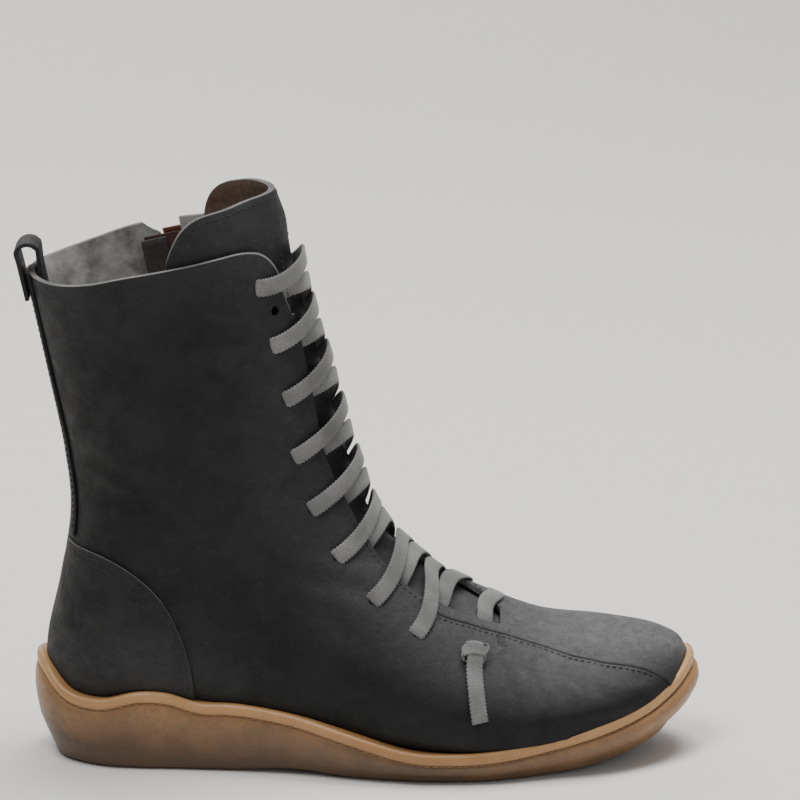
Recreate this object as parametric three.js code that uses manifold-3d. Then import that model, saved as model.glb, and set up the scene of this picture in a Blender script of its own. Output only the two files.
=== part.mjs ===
// A right-foot orthopaedic mid-calf boot: a lasted leather upper with a laced throat and an inner-side zip,
// seated in a moulded rubber cup sole. Millimetres, +X to the toe, +Y to the inner side, +Z up.
// The origin is the middle of the heel's flat spot on the floor.
import * as THREE from "three";
import { mergeVertices } from "three/addons/utils/BufferGeometryUtils.js";
import Module from "manifold-3d";

const wasm = await Module();
wasm.setup();

// Driving dimensions
const SOLE_LENGTH = 271.5;
const BALL_WIDTH = 98;
const SHAFT_WIDTH = 82;
const INSTEP_HEIGHT = 104;
const COLLAR_HEIGHT = 204;
const SEAT_HEIGHT = 22;
const RIM_HEIGHT = 44;
const TOE_SPRING = 9;
const HEEL_BACK = 41.5;
const WALL = 2.4;
const CLEARANCE = 0.3;
const OVERLAY = 1.2;

// Cup sole
const RIM_LEDGE = 3.2;
const BEAD_DROP = 4.6;
const GROOVE_DEPTH = 1.1;
const GROOVE_HEIGHT = 1.3;
const BOTTOM_EDGE = 3;
const WAIST_ARCH = 5.5;
const SIDE_TUCK = 0.05;
const SOLE_BULGE = 0.45;
const SPRING_START = 0.69;

// Insole and lasting margin
const INSOLE_THICKNESS = 3.5;
const LASTING_MARGIN = 7;

// Throat and tongue
const COLLAR_TILT = 0.057;
const THROAT_LENGTH = 199;
const TONGUE_THICKNESS = 2.6;
const TONGUE_LATERAL_REACH = 56;
const TONGUE_MEDIAL_REACH = 38;
const TONGUE_FOOT_REACH = 13;

// Lacing
const EYELET_DIAMETER = 4;
const STRAP_END_INSET = 2.5;
const LACE_LIFT = 0.8;
const LACE_WIDTH = 7;
const LACE_THICKNESS = 1.3;
const LACE_STEP = 4;
const KNOT_SIZE = 10;
const LOWER_END_LENGTH = 24;
const UPPER_END_LENGTH = 18;
const LOWER_END_STEP = [0.003, 0.01];
const UPPER_END_STEP = [0.02, 0.001];

// Zip on the inner side, along a straight line in the side view
const ZIP_TOP_X = 14;
const ZIP_FOOT_X = 50;
const ZIP_FOOT_Z = 50;
const ZIP_SLIT = 8;
const ZIP_TAPE = 26;
const ZIP_TAPE_THICKNESS = 0.8;
const CHAIN_WIDTH = 5.6;
const SLIDER_LENGTH = 9;
const SLIDER_WIDTH = 8.5;
const SLIDER_THICKNESS = 2;
const SLIDER_DROP = 7;
const BAIL_WIRE = 1.5;
const POST_WIDTH = 1.5;
const EYE_RADIUS = 2.1;
const PULL_LENGTH = 24;
const PULL_WIDTH = 5;
const PULL_THICKNESS = 1.3;

// Back strip and pull loop
const STRIP_TOP_HALF = 8.5;
const STRIP_FOOT_HALF = 13;
const LOOP_WIDTH = 18;
const LOOP_HEIGHT = 12;
const LOOP_DEPTH = 11;
const LOOP_LEG = 12;
const LOOP_STRIP = 1.6;

// Heel counter, in the side view
const COUNTER_HEIGHT = 92;
const COUNTER_LENGTH = 66;

// Sections of the last, toe to collar. Each is a plane across the boot from a seat point (the underside,
// then the back of the heel and shaft) to a crown point (the vamp, then the front of the shaft).
// x and crownX: shares of the sole's length from its back. lateral, medial and ridge: shares of the ball's
// width for the foot and of the shaft's for the rest. crown: shares of the instep's height for the foot and
// of the collar's for the rest. seat: the same, but of the seat's height under the foot.
// belly: where the section is widest. lat, med and sole: how square its three quarters are.
const FOOT = [
  { x: 0.979, crownX: 0.989, seat: 1.3, crown: 0.385, lateral: 0.02, medial: 0.153, ridge: 0.087, belly: 0.4, lat: 2, med: 2, sole: 2 },
  { x: 0.969, crownX: 0.979, seat: 1.05, crown: 0.433, lateral: -0.067, medial: 0.235, ridge: 0.09, belly: 0.42, lat: 2, med: 2, sole: 2.4 },
  { x: 0.949, crownX: 0.963, seat: 0.87, crown: 0.46, lateral: -0.163, medial: 0.291, ridge: 0.094, belly: 0.41, lat: 1.8, med: 2, sole: 3 },
  { x: 0.913, crownX: 0.926, seat: 0.73, crown: 0.488, lateral: -0.27, medial: 0.355, ridge: 0.107, belly: 0.39, lat: 1.65, med: 2.1, sole: 3.8 },
  { x: 0.854, crownX: 0.856, seat: 0.57, crown: 0.51, lateral: -0.378, medial: 0.42, ridge: 0.117, belly: 0.36, lat: 1.55, med: 2.2, sole: 4.6 },
  { x: 0.762, crownX: 0.766, seat: 0.4, crown: 0.536, lateral: -0.458, medial: 0.452, ridge: 0.117, belly: 0.33, lat: 1.55, med: 2.2, sole: 5 },
  { x: 0.669, crownX: 0.68, seat: 0.35, crown: 0.63, lateral: -0.502, medial: 0.446, ridge: 0.09, belly: 0.3, lat: 1.6, med: 2.1, sole: 5 },
  { x: 0.559, crownX: 0.61, seat: 0.42, crown: 0.738, lateral: -0.488, medial: 0.379, ridge: 0.051, belly: 0.31, lat: 1.7, med: 2, sole: 4.6 },
  { x: 0.447, crownX: 0.556, seat: 0.6, crown: 0.865, lateral: -0.428, medial: 0.328, ridge: 0.031, belly: 0.34, lat: 1.8, med: 1.9, sole: 4 },
  { x: 0.319, crownX: 0.517, seat: 0.82, crown: 1, lateral: -0.378, medial: 0.319, ridge: 0.01, belly: 0.35, lat: 1.9, med: 1.9, sole: 3.4 },
];
const SHAFT = [
  { x: 0.178, crownX: 0.496, seat: 0.108, crown: 0.578, lateral: -0.42, medial: 0.405, ridge: 0, belly: 0.36, lat: 2, med: 2, sole: 2.8 },
  { x: 0.062, crownX: 0.479, seat: 0.116, crown: 0.647, lateral: -0.418, medial: 0.418, ridge: 0, belly: 0.36, lat: 2, med: 2, sole: 2.4 },
  { x: 0.024, crownX: 0.467, seat: 0.182, crown: 0.703, lateral: -0.42, medial: 0.42, ridge: 0, belly: 0.36, lat: 2, med: 2, sole: 2.2 },
  { x: 0.022, crownX: 0.458, seat: 0.255, crown: 0.748, lateral: -0.424, medial: 0.424, ridge: 0, belly: 0.38, lat: 2, med: 2, sole: 2.1 },
  { x: 0.042, crownX: 0.444, seat: 0.373, crown: 0.816, lateral: -0.432, medial: 0.432, ridge: 0, belly: 0.4, lat: 2, med: 2, sole: 2 },
  { x: 0.059, crownX: 0.427, seat: 0.51, crown: 0.892, lateral: -0.446, medial: 0.446, ridge: 0, belly: 0.42, lat: 2, med: 2, sole: 2 },
  { x: 0.052, crownX: 0.414, seat: 0.637, crown: 0.956, lateral: -0.466, medial: 0.466, ridge: 0, belly: 0.43, lat: 2, med: 2, sole: 2 },
  { x: 0.029, crownX: 0.404, seat: 0.799, crown: 1.02, lateral: -0.488, medial: 0.488, ridge: 0, belly: 0.44, lat: 2, med: 2, sole: 2 },
  { x: -0.002, crownX: 0.393, seat: 1, crown: 1.098, lateral: -0.5, medial: 0.5, ridge: 0, belly: 0.45, lat: 2, med: 2, sole: 2 },
  { x: -0.026, crownX: 0.359, seat: 1.157, crown: 1.216, lateral: -0.5, medial: 0.5, ridge: 0, belly: 0.45, lat: 2, med: 2, sole: 2 },
];

// The collar's line in the side view, back to front. x: share of the sole's length from its back. z: share of
// the collar's height.
const COLLAR_LINE = [
  [-0.02, 0.997],
  [0.037, 1],
  [0.093, 1.014],
  [0.139, 1.031],
  [0.185, 1.043],
  [0.244, 1.056],
  [0.304, 1.069],
  [0.328, 1.069],
  [0.345, 1.062],
  [0.36, 1.043],
  [0.371, 1.015],
  [0.377, 0.98],
  [0.39, 0.93],
];

// The throat's edges from the collar down. First the share of its length, then the distances of its outer and
// inner edges from the middle line, as shares of the ball's width.
const THROAT = [
  [0, -0.174, 0.174],
  [0.3, -0.165, 0.165],
  [0.6, -0.17, 0.158],
  [0.78, -0.215, 0.128],
  [0.855, -0.207, 0.102],
  [0.915, -0.178, 0.068],
  [0.955, -0.163, 0.015],
  [0.985, -0.158, -0.085],
  [1, -0.158, -0.15],
];

// The tongue's top in the side view, in the same shares.
const TONGUE_TOP_LINE = [
  [0.181, 1],
  [0.19, 1.07],
  [0.213, 1.108],
  [0.244, 1.131],
  [0.296, 1.147],
  [0.337, 1.16],
  [0.4, 1.163],
];

// The sole's edge, round from the heel by the outer side to the toe and back. x: share of the sole's length
// from its back. y: share of the ball's width. rim: share of the rim's height at the heel. tuck: how far the
// bottom edge lies inside the rim, as a share of the ball's width.
const SOLE_EDGE = [
  { x: 0, y: 0, rim: 1, tuck: 0.07 },
  { x: 0.014, y: -0.153, rim: 0.93, tuck: 0.07 },
  { x: 0.048, y: -0.255, rim: 0.74, tuck: 0.066 },
  { x: 0.1, y: -0.323, rim: 0.7, tuck: 0.056 },
  { x: 0.155, y: -0.345, rim: 0.78, tuck: 0.051 },
  { x: 0.2, y: -0.352, rim: 0.775, tuck: 0.051 },
  { x: 0.25, y: -0.362, rim: 0.69, tuck: 0.051 },
  { x: 0.31, y: -0.379, rim: 0.68, tuck: 0.051 },
  { x: 0.39, y: -0.418, rim: 0.605, tuck: 0.051 },
  { x: 0.47, y: -0.474, rim: 0.47, tuck: 0.051 },
  { x: 0.55, y: -0.515, rim: 0.34, tuck: 0.046 },
  { x: 0.61, y: -0.526, rim: 0.305, tuck: 0.041 },
  { x: 0.69, y: -0.51, rim: 0.32, tuck: 0.041 },
  { x: 0.77, y: -0.452, rim: 0.385, tuck: 0.046 },
  { x: 0.852, y: -0.39, rim: 0.495, tuck: 0.056 },
  { x: 0.92, y: -0.275, rim: 0.61, tuck: 0.071 },
  { x: 0.966, y: -0.145, rim: 0.745, tuck: 0.087 },
  { x: 0.993, y: -0.01, rim: 0.87, tuck: 0.097 },
  { x: 1, y: 0.09, rim: 0.92, tuck: 0.102 },
  { x: 0.993, y: 0.19, rim: 0.91, tuck: 0.097 },
  { x: 0.962, y: 0.295, rim: 0.79, tuck: 0.087 },
  { x: 0.905, y: 0.385, rim: 0.61, tuck: 0.071 },
  { x: 0.83, y: 0.446, rim: 0.455, tuck: 0.056 },
  { x: 0.75, y: 0.474, rim: 0.36, tuck: 0.046 },
  { x: 0.67, y: 0.469, rim: 0.32, tuck: 0.046 },
  { x: 0.6, y: 0.428, rim: 0.36, tuck: 0.051 },
  { x: 0.53, y: 0.367, rim: 0.47, tuck: 0.056 },
  { x: 0.45, y: 0.316, rim: 0.61, tuck: 0.056 },
  { x: 0.37, y: 0.3, rim: 0.7, tuck: 0.051 },
  { x: 0.3, y: 0.306, rim: 0.73, tuck: 0.051 },
  { x: 0.24, y: 0.32, rim: 0.73, tuck: 0.051 },
  { x: 0.17, y: 0.338, rim: 0.78, tuck: 0.051 },
  { x: 0.1, y: 0.323, rim: 0.71, tuck: 0.056 },
  { x: 0.048, y: 0.255, rim: 0.76, tuck: 0.066 },
  { x: 0.014, y: 0.153, rim: 0.93, tuck: 0.07 },
];

// Eyelets: how far down the front from the collar and how far behind the throat's edge, millimetres, then how
// far down the far edge the lace's crossing ends.
const LATERAL_EYELETS = [
  [15, 17, 20],
  [35.7, 15, 40],
  [57, 14, 60],
  [79.3, 14.5, 83],
  [100.3, 15.5, 107],
  [119.5, 17, 128],
  [138, 17, 148],
  [157, 17, 164],
];
const MEDIAL_EYELETS = [
  [37, 14, 22.5],
  [56, 14, 43],
  [78, 14, 63],
  [100, 15, 86.5],
  [121, 15, 108.5],
  [139, 15, 127.5],
  [158, 14, 146.5],
  [176, 13, 165],
];
const FIRST_EYELET = [190, 11, 185];
const SPARE_EYELET = [25.5, 10.6];
const LOWER_KNOT_EYELET = [179.8, 18];
const UPPER_KNOT_EYELET = [12, 17];

const AROUND = 40;
const STATION_STEPS = 2;
const EDGE_STEPS = 2;
const LAST_END = FOOT.length + SHAFT.length - 1;
const COLLAR_STATION = LAST_END - 1;

const lengthAt = (share) => share * SOLE_LENGTH - HEEL_BACK;

const SECTIONS = [
  ...FOOT.map((row) => ({
    seatX: lengthAt(row.x),
    seatZ: row.seat * SEAT_HEIGHT,
    crownX: lengthAt(row.crownX),
    crownZ: row.crown * INSTEP_HEIGHT,
    lateral: row.lateral * BALL_WIDTH,
    medial: row.medial * BALL_WIDTH,
    ridge: row.ridge * BALL_WIDTH,
    belly: row.belly,
    lat: row.lat,
    med: row.med,
    sole: row.sole,
  })),
  ...SHAFT.map((row) => ({
    seatX: lengthAt(row.x),
    seatZ: row.seat * COLLAR_HEIGHT,
    crownX: lengthAt(row.crownX),
    crownZ: row.crown * COLLAR_HEIGHT,
    lateral: row.lateral * SHAFT_WIDTH,
    medial: row.medial * SHAFT_WIDTH,
    ridge: row.ridge * SHAFT_WIDTH,
    belly: row.belly,
    lat: row.lat,
    med: row.med,
    sole: row.sole,
  })),
];

// Smooth curve through four values, t from 0 to 1 between the middle two.
function through(a, b, c, d, t) {
  return b + 0.5 * t * (c - a + t * (2 * a - 5 * b + 4 * c - d + t * (3 * (b - c) + d - a)));
}

// The last's section at station s, a number from 0 at the toe to LAST_END above the collar.
function sectionAt(s) {
  const limited = Math.min(Math.max(s, 0), LAST_END);
  const i = Math.min(Math.floor(limited), LAST_END - 1);
  const row = (k) => SECTIONS[Math.min(Math.max(k, 0), LAST_END)];
  const section = {};
  for (const key of Object.keys(SECTIONS[0]))
    section[key] = through(row(i - 1)[key], row(i)[key], row(i + 1)[key], row(i + 2)[key], limited - i);
  return section;
}

// How much of an offset moves a station forward: all of it at the toe's tip, none from the fifth row on.
const noseShare = (s) => Math.max(0, 1 - s / 4) ** 2;

// The section grown by an offset on every side.
function grownSection(s, offset) {
  const section = sectionAt(s);
  const alongX = section.crownX - section.seatX;
  const alongZ = section.crownZ - section.seatZ;
  const height = Math.hypot(alongX, alongZ);
  const nose = offset * noseShare(s);
  return {
    ...section,
    seatX: section.seatX - (offset * alongX) / height + nose,
    seatZ: section.seatZ - (offset * alongZ) / height,
    unitX: alongX / height,
    unitZ: alongZ / height,
    height: height + 2 * offset,
    noseX: nose,
    toLateral: section.ridge - section.lateral + offset,
    toMedial: section.medial - section.ridge + offset,
  };
}

// A point of the last at station s, turned phi from the crown towards the inner side, offset outwards.
function lastPoint(s, phi, offset) {
  const section = grownSection(s, offset);
  const cosine = Math.cos(phi);
  const sine = Math.sin(phi);
  const above = cosine >= 0;
  const square = above ? (sine >= 0 ? section.med : section.lat) : section.sole;
  const across = Math.abs(sine) ** (2 / square);
  const up = Math.abs(cosine) ** (2 / square);
  const rise = above ? section.belly + (1 - section.belly) * up : section.belly * (1 - up);
  const half = sine >= 0 ? section.toMedial : -section.toLateral;
  return new THREE.Vector3(
    section.seatX + section.unitX * section.height * rise,
    section.ridge + half * across,
    section.seatZ + section.unitZ * section.height * rise,
  );
}

// The turn from the crown whose point lies a given distance across from the middle line y.
function turnForY(s, y) {
  const section = grownSection(s, 0);
  const side = y >= section.ridge ? 1 : -1;
  const half = side > 0 ? section.toMedial : section.toLateral;
  const square = side > 0 ? section.med : section.lat;
  const share = Math.min(Math.abs(y - section.ridge) / half, 1);
  return side * Math.asin(share ** (square / 2));
}

// The turn on the inner side whose point has a given share of the section's height.
function turnForRise(s, share) {
  const section = grownSection(s, 0);
  if (share >= section.belly) {
    const up = (share - section.belly) / (1 - section.belly);
    return Math.acos(Math.min(up, 1) ** (section.med / 2));
  }
  const down = 1 - share / section.belly;
  return Math.PI - Math.acos(Math.min(down, 1) ** (section.sole / 2));
}

// A closed geometry from rings of points, each the same length, capped at both ends by fans.
function ringsGeometry(rings) {
  const count = rings[0].length;
  const points = rings.flat();
  const faces = [];
  for (let i = 0; i < rings.length - 1; i++)
    for (let j = 0; j < count; j++) {
      const a = i * count + j;
      const b = i * count + ((j + 1) % count);
      faces.push(a, b, b + count, a, b + count, a + count);
    }
  for (const [ring, flip] of [[0, true], [rings.length - 1, false]]) {
    const centre = new THREE.Vector3();
    rings[ring].forEach((p) => centre.add(p));
    points.push(centre.divideScalar(count));
    for (let j = 0; j < count; j++) {
      const a = ring * count + j;
      const b = ring * count + ((j + 1) % count);
      faces.push(points.length - 1, ...(flip ? [b, a] : [a, b]));
    }
  }
  return geometryOf(points, faces);
}

function geometryOf(points, faces) {
  const positions = new Float32Array(points.flatMap((p) => [p.x, p.y, p.z]));
  return new THREE.BufferGeometry()
    .setAttribute("position", new THREE.BufferAttribute(positions, 3))
    .setIndex(faces);
}

function solidOf(geometry) {
  const plain = geometry.clone();
  plain.deleteAttribute("normal");
  plain.deleteAttribute("uv");
  const merged = mergeVertices(plain, 1e-4);
  const build = (triVerts) =>
    new wasm.Manifold(
      new wasm.Mesh({ numProp: 3, vertProperties: merged.attributes.position.array, triVerts }),
    );
  const triangles = new Uint32Array(merged.index.array);
  const made = build(triangles);
  if (made.volume() > 0) return made;
  for (let i = 0; i < triangles.length; i += 3)
    [triangles[i + 1], triangles[i + 2]] = [triangles[i + 2], triangles[i + 1]];
  return build(triangles);
}

const range = (from, to, steps) =>
  Array.from({ length: steps + 1 }, (_, i) => from + ((to - from) * i) / steps);

// The whole last as a solid, grown by an offset, from one station to another.
function lastSolid(offset, from = 0, to = LAST_END) {
  const stations = range(from, to, Math.round((to - from) * STATION_STEPS));
  const turns = range(0, 2 * Math.PI, AROUND).slice(0, AROUND);
  return solidOf(ringsGeometry(stations.map((s) => turns.map((phi) => lastPoint(s, phi, offset)))));
}

// A slab of the last's surface between two turns and two offsets, each a function of the station.
function patchSolid({ from, to, steps, turnA, turnB, columns, inner, outer }) {
  const rings = range(from, to, steps).map((s) => {
    const turns = range(turnA(s), turnB(s), columns);
    return [
      ...turns.map((phi) => lastPoint(s, phi, outer)),
      ...turns.reverse().map((phi) => lastPoint(s, phi, inner)),
    ];
  });
  return solidOf(stripGeometry(rings, columns));
}

// As ringsGeometry, for rings that are slabs: out along one face and back along the other.
function stripGeometry(rings, columns) {
  const count = rings[0].length;
  const faces = [];
  for (let i = 0; i < rings.length - 1; i++)
    for (let j = 0; j < count; j++) {
      const a = i * count + j;
      const b = i * count + ((j + 1) % count);
      faces.push(a, b, b + count, a, b + count, a + count);
    }
  for (const [ring, flip] of [[0, true], [rings.length - 1, false]])
    for (let j = 0; j < columns; j++) {
      const a = ring * count + j;
      const b = a + 1;
      const d = ring * count + count - 1 - j;
      const c = d - 1;
      faces.push(...(flip ? [b, a, c, a, d, c] : [a, b, c, a, c, d]));
    }
  return geometryOf(rings.flat(), faces);
}

// A flat outline in the side view, given as [x, z] points, carried right across the boot. With a tilt it
// rises by that much for each millimetre to the inner side.
function sidePrism(outline, width = 2 * BALL_WIDTH, tilt = 0) {
  const shape = new THREE.Shape(outline.map(([x, z]) => new THREE.Vector2(x, z)));
  const geometry = new THREE.ExtrudeGeometry(shape, { depth: width, bevelEnabled: false });
  geometry.rotateX(Math.PI / 2).translate(0, width / 2, 0);
  return solidOf(geometry.applyMatrix4(new THREE.Matrix4().makeShear(0, 0, 0, tilt, 0, 0)));
}

// Distances along the front of the boot, down from the collar
const FRONT_STEPS = 400;
const frontTable = (() => {
  const table = [{ s: COLLAR_STATION, distance: 0 }];
  let before = lastPoint(COLLAR_STATION, 0, 0);
  for (const s of range(COLLAR_STATION, 0, FRONT_STEPS).slice(1)) {
    const here = lastPoint(s, 0, 0);
    table.push({ s, distance: table.at(-1).distance + here.distanceTo(before) });
    before = here;
  }
  return table;
})();

// The station whose crown lies a given distance down the front from the collar.
function stationDown(distance) {
  const k = frontTable.findIndex((row) => row.distance >= distance);
  if (k < 1) return k < 0 ? 0 : COLLAR_STATION - distance / 30;
  const [a, b] = [frontTable[k - 1], frontTable[k]];
  return a.s + ((b.s - a.s) * (distance - a.distance)) / (b.distance - a.distance);
}

const downAt = (s) => {
  const k = frontTable.findIndex((row) => row.s <= s);
  return k < 0 ? THROAT_LENGTH : frontTable[k].distance;
};

// The throat drifts to the outer side down the front, to end where the vamp seam starts.
const throatShare = (s) => Math.min(downAt(s) / THROAT_LENGTH, 1);
function throatSide(s, column) {
  const share = throatShare(s);
  const last = THROAT.length - 1;
  const k = Math.min(Math.max(THROAT.findIndex((row) => row[0] > share) - 1, 0), last - 1);
  const at = share >= 1 ? last - 1 : k;
  const value = (i) => THROAT[Math.min(Math.max(i, 0), last)][column] * BALL_WIDTH;
  const along = (share - THROAT[at][0]) / (THROAT[at + 1][0] - THROAT[at][0]);
  return through(value(at - 1), value(at), value(at + 1), value(at + 2), along);
}
const lateralEdge = (s, back = 0) => turnForY(s, throatSide(s, 1) - back);
const medialEdge = (s, back = 0) => turnForY(s, throatSide(s, 2) + back);

// The turn of a point that lies a given distance along the surface behind a throat edge.
function behindEdge(s, side, setback) {
  const start = side < 0 ? lateralEdge(s) : medialEdge(s);
  const step = 0.01;
  let turn = start;
  let gone = 0;
  let before = lastPoint(s, turn, 0);
  while (gone < Math.abs(setback) && Math.abs(turn) < Math.PI) {
    turn += step * side * Math.sign(setback);
    const here = lastPoint(s, turn, 0);
    gone += here.distanceTo(before);
    before = here;
  }
  return turn;
}

// The zip's line in the side view meets each section at one turn of the inner side.
const zipTopZ = COLLAR_HEIGHT * 1.05;
function zipTurn(s, aside = 0) {
  const section = grownSection(s, 0);
  const slope = (ZIP_FOOT_X - ZIP_TOP_X) / (ZIP_FOOT_Z - zipTopZ);
  const topX = ZIP_TOP_X + aside;
  const along =
    (topX + slope * (section.seatZ - zipTopZ) - section.seatX) / (section.unitX - slope * section.unitZ);
  return turnForRise(s, Math.min(Math.max(along / section.height, 0.05), 0.95));
}

// The station where the zip's line has a given height.
function zipStation(z) {
  const stations = range(5, COLLAR_STATION + 0.5, FRONT_STEPS);
  return stations.find((s) => lastPoint(s, zipTurn(s), 0).z >= z) ?? COLLAR_STATION;
}

const back = sectionAt(COLLAR_STATION);
const collarLine = COLLAR_LINE.map(([x, z]) => [lengthAt(x), z * COLLAR_HEIGHT]);

// Everything above the collar's line, in the side view.
function aboveCollar(drop = 0) {
  const line = collarLine.map(([x, z]) => [x, z - drop]);
  const top = 2 * COLLAR_HEIGHT;
  const outline = [[-SOLE_LENGTH, line[0][1]], ...line, [SOLE_LENGTH, line.at(-1)[1]], [SOLE_LENGTH, top], [-SOLE_LENGTH, top]];
  return sidePrism(outline, 2 * BALL_WIDTH, COLLAR_TILT);
}

// Counter outline in the side view: level behind the heel, then a long curve down to the sole.
function counterOutline(grow) {
  const low = SEAT_HEIGHT * 0.9 - grow;
  const backX = -2 * HEEL_BACK;
  const drop = COUNTER_HEIGHT - low;
  const arc = range(0, Math.PI / 2, 7).map((turn) => [
    -HEEL_BACK + COUNTER_LENGTH * (0.3 + 0.7 * Math.sin(turn)) + grow,
    low + drop * (0.02 + 0.98 * Math.cos(turn) ** 0.85) + grow,
  ]);
  return [[backX, low], [backX, COUNTER_HEIGHT + grow], ...arc, [arc.at(-1)[0], low]];
}

// The sole's edge as a list of places, finer than its table.
const edgePlaces = (() => {
  const rows = SOLE_EDGE;
  const places = [];
  for (let i = 0; i < rows.length; i++)
    for (let k = 0; k < EDGE_STEPS; k++) {
      const at = (step) => rows[(i + step + rows.length) % rows.length];
      const value = (key) => through(at(-1)[key], at(0)[key], at(1)[key], at(2)[key], k / EDGE_STEPS);
      places.push({
        x: lengthAt(value("x")),
        y: value("y") * BALL_WIDTH,
        rim: value("rim") * RIM_HEIGHT,
        tuck: value("tuck") * BALL_WIDTH,
        bulge: SOLE_BULGE * (value("tuck") - SIDE_TUCK) * BALL_WIDTH,
      });
    }
  return places;
})();

// Floor clearance under the sole: toe spring, and the raised waist between heel and forefoot.
function bottomHeight(x, y) {
  const springX = lengthAt(SPRING_START);
  const toeX = lengthAt(0.97);
  const spring = TOE_SPRING * Math.max(0, (x - springX) / (toeX - springX)) ** 2;
  const waist = Math.sin(Math.PI * Math.min(Math.max((x - lengthAt(0.29)) / (SOLE_LENGTH * 0.2), 0), 1)) ** 2;
  const inner = Math.min(Math.max(0.5 + y / (0.7 * BALL_WIDTH), 0), 1);
  return spring + WAIST_ARCH * waist * (0.3 + 0.7 * inner);
}

// The edge moved inwards by a distance, at a height given by a function of the place.
function edgeRing(inset, heightOf) {
  const count = edgePlaces.length;
  return edgePlaces.map((place, i) => {
    const before = edgePlaces[(i + count - 1) % count];
    const after = edgePlaces[(i + 1) % count];
    const along = new THREE.Vector2(after.x - before.x, after.y - before.y).normalize();
    const distance = typeof inset === "function" ? inset(place) : inset;
    const x = place.x - along.y * distance;
    const y = place.y + along.x * distance;
    return new THREE.Vector3(x, y, heightOf(place, x, y));
  });
}

// Fills the inside of a ring with strips between its two sides, so that the face follows the ring's heights.
function capFaces(start, count, flip) {
  const faces = [];
  const half = Math.floor(count / 2);
  for (let i = 0; i < half; i++) {
    const a = start + i;
    const b = start + i + 1;
    const c = start + ((count - i) % count);
    const d = start + count - i - 1;
    const quad = i === 0 ? [[a, b, d]] : b === d ? [[a, b, c]] : [[a, b, d], [a, d, c]];
    for (const face of quad) faces.push(...(flip ? face : [face[0], face[2], face[1]]));
  }
  return faces;
}

function edgeSolid(rings) {
  const count = rings[0].length;
  const faces = [];
  for (let i = 0; i < rings.length - 1; i++)
    for (let j = 0; j < count; j++) {
      const a = i * count + j;
      const b = i * count + ((j + 1) % count);
      faces.push(a, b, b + count, a, b + count, a + count);
    }
  faces.push(...capFaces(0, count, false), ...capFaces((rings.length - 1) * count, count, true));
  return solidOf(geometryOf(rings.flat(), faces));
}

function soleForm() {
  const bottom = (place, x, y) => bottomHeight(x, y);
  const edgeLow = (place, x, y) => bottomHeight(x, y) + BOTTOM_EDGE;
  const side = (share) => (place, x, y) => {
    const low = bottomHeight(x, y) + BOTTOM_EDGE;
    return low + share * (place.rim - BEAD_DROP - GROOVE_HEIGHT - low);
  };
  return edgeSolid([
    edgeRing((place) => place.tuck + 6, bottom),
    edgeRing((place) => place.tuck + 2.5, (place, x, y) => bottomHeight(x, y) + 0.25),
    edgeRing((place) => place.tuck, edgeLow),
    edgeRing((place) => 0.25 * place.tuck - 0.8 * place.bulge, side(0.4)),
    edgeRing((place) => -place.bulge, side(0.75)),
    edgeRing((place) => 0.3 - 0.5 * place.bulge, side(1)),
    edgeRing(GROOVE_DEPTH + 0.4, (place) => place.rim - BEAD_DROP - GROOVE_HEIGHT / 2),
    edgeRing(0.4, (place) => place.rim - BEAD_DROP),
    edgeRing(0, (place) => place.rim - BEAD_DROP * 0.6),
    edgeRing(0.5, (place) => place.rim - BEAD_DROP * 0.25),
    edgeRing(RIM_LEDGE * 0.55, (place) => place.rim),
    edgeRing(RIM_LEDGE, (place) => place.rim - 0.2),
    edgeRing(RIM_LEDGE + 8, (place) => place.rim - 0.2),
  ]);
}

// The opening under the upper, inside its lasting margin: from the cup's floor to just above the margin.
function seatPlug(inset, heightOffset) {
  const seatOf = (x) => {
    const k = range(0, COLLAR_STATION, FRONT_STEPS).find((s) => sectionAt(s).seatX <= x) ?? COLLAR_STATION;
    return sectionAt(k).seatZ;
  };
  const ring = (offset) =>
    edgeRing(RIM_LEDGE + LASTING_MARGIN + inset, (place, x) => seatOf(Math.max(x, lengthAt(0.14))) + offset);
  return edgeSolid([ring(heightOffset[0]), ring(heightOffset[1])]);
}

function insoleSolid() {
  const inside = lastSolid(-(WALL + CLEARANCE));
  const top = seatPlug(-LASTING_MARGIN - RIM_LEDGE - 2, [-10, WALL + CLEARANCE + INSOLE_THICKNESS]);
  const plug = seatPlug(CLEARANCE, [-10, WALL + 1]).intersect(lastSolid(0));
  return inside.intersect(top).add(plug);
}

function soleSolid(counterFill) {
  return soleForm().subtract(lastSolid(CLEARANCE)).subtract(counterFill);
}

function throatCutter() {
  return patchSolid({
    from: stationDown(THROAT_LENGTH),
    to: LAST_END,
    steps: 36,
    turnA: (s) => lateralEdge(Math.min(s, COLLAR_STATION)),
    turnB: (s) => medialEdge(Math.min(s, COLLAR_STATION)),
    columns: 6,
    inner: -8,
    outer: 8,
  });
}

function zipCutter() {
  return patchSolid({
    from: zipStation(ZIP_FOOT_Z),
    to: LAST_END,
    steps: 24,
    turnA: (s) => zipTurn(s, ZIP_SLIT / 2),
    turnB: (s) => zipTurn(s, -ZIP_SLIT / 2),
    columns: 2,
    inner: -8,
    outer: 8,
  });
}

// An eyelet as a station and a turn of the last.
function eyeletOf([down, setback], side) {
  const s = stationDown(down);
  return { s, turn: behindEdge(s, side, setback) };
}
const lateralEyelets = LATERAL_EYELETS.map((row) => eyeletOf(row, -1));
const medialEyelets = MEDIAL_EYELETS.map((row) => eyeletOf(row, 1));
const spareEyelet = eyeletOf(SPARE_EYELET, -1);
const lowerKnotEyelet = eyeletOf(LOWER_KNOT_EYELET, -1);
const upperKnotEyelet = eyeletOf(UPPER_KNOT_EYELET, 1);
const firstEyelet = eyeletOf(FIRST_EYELET, 1);

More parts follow.
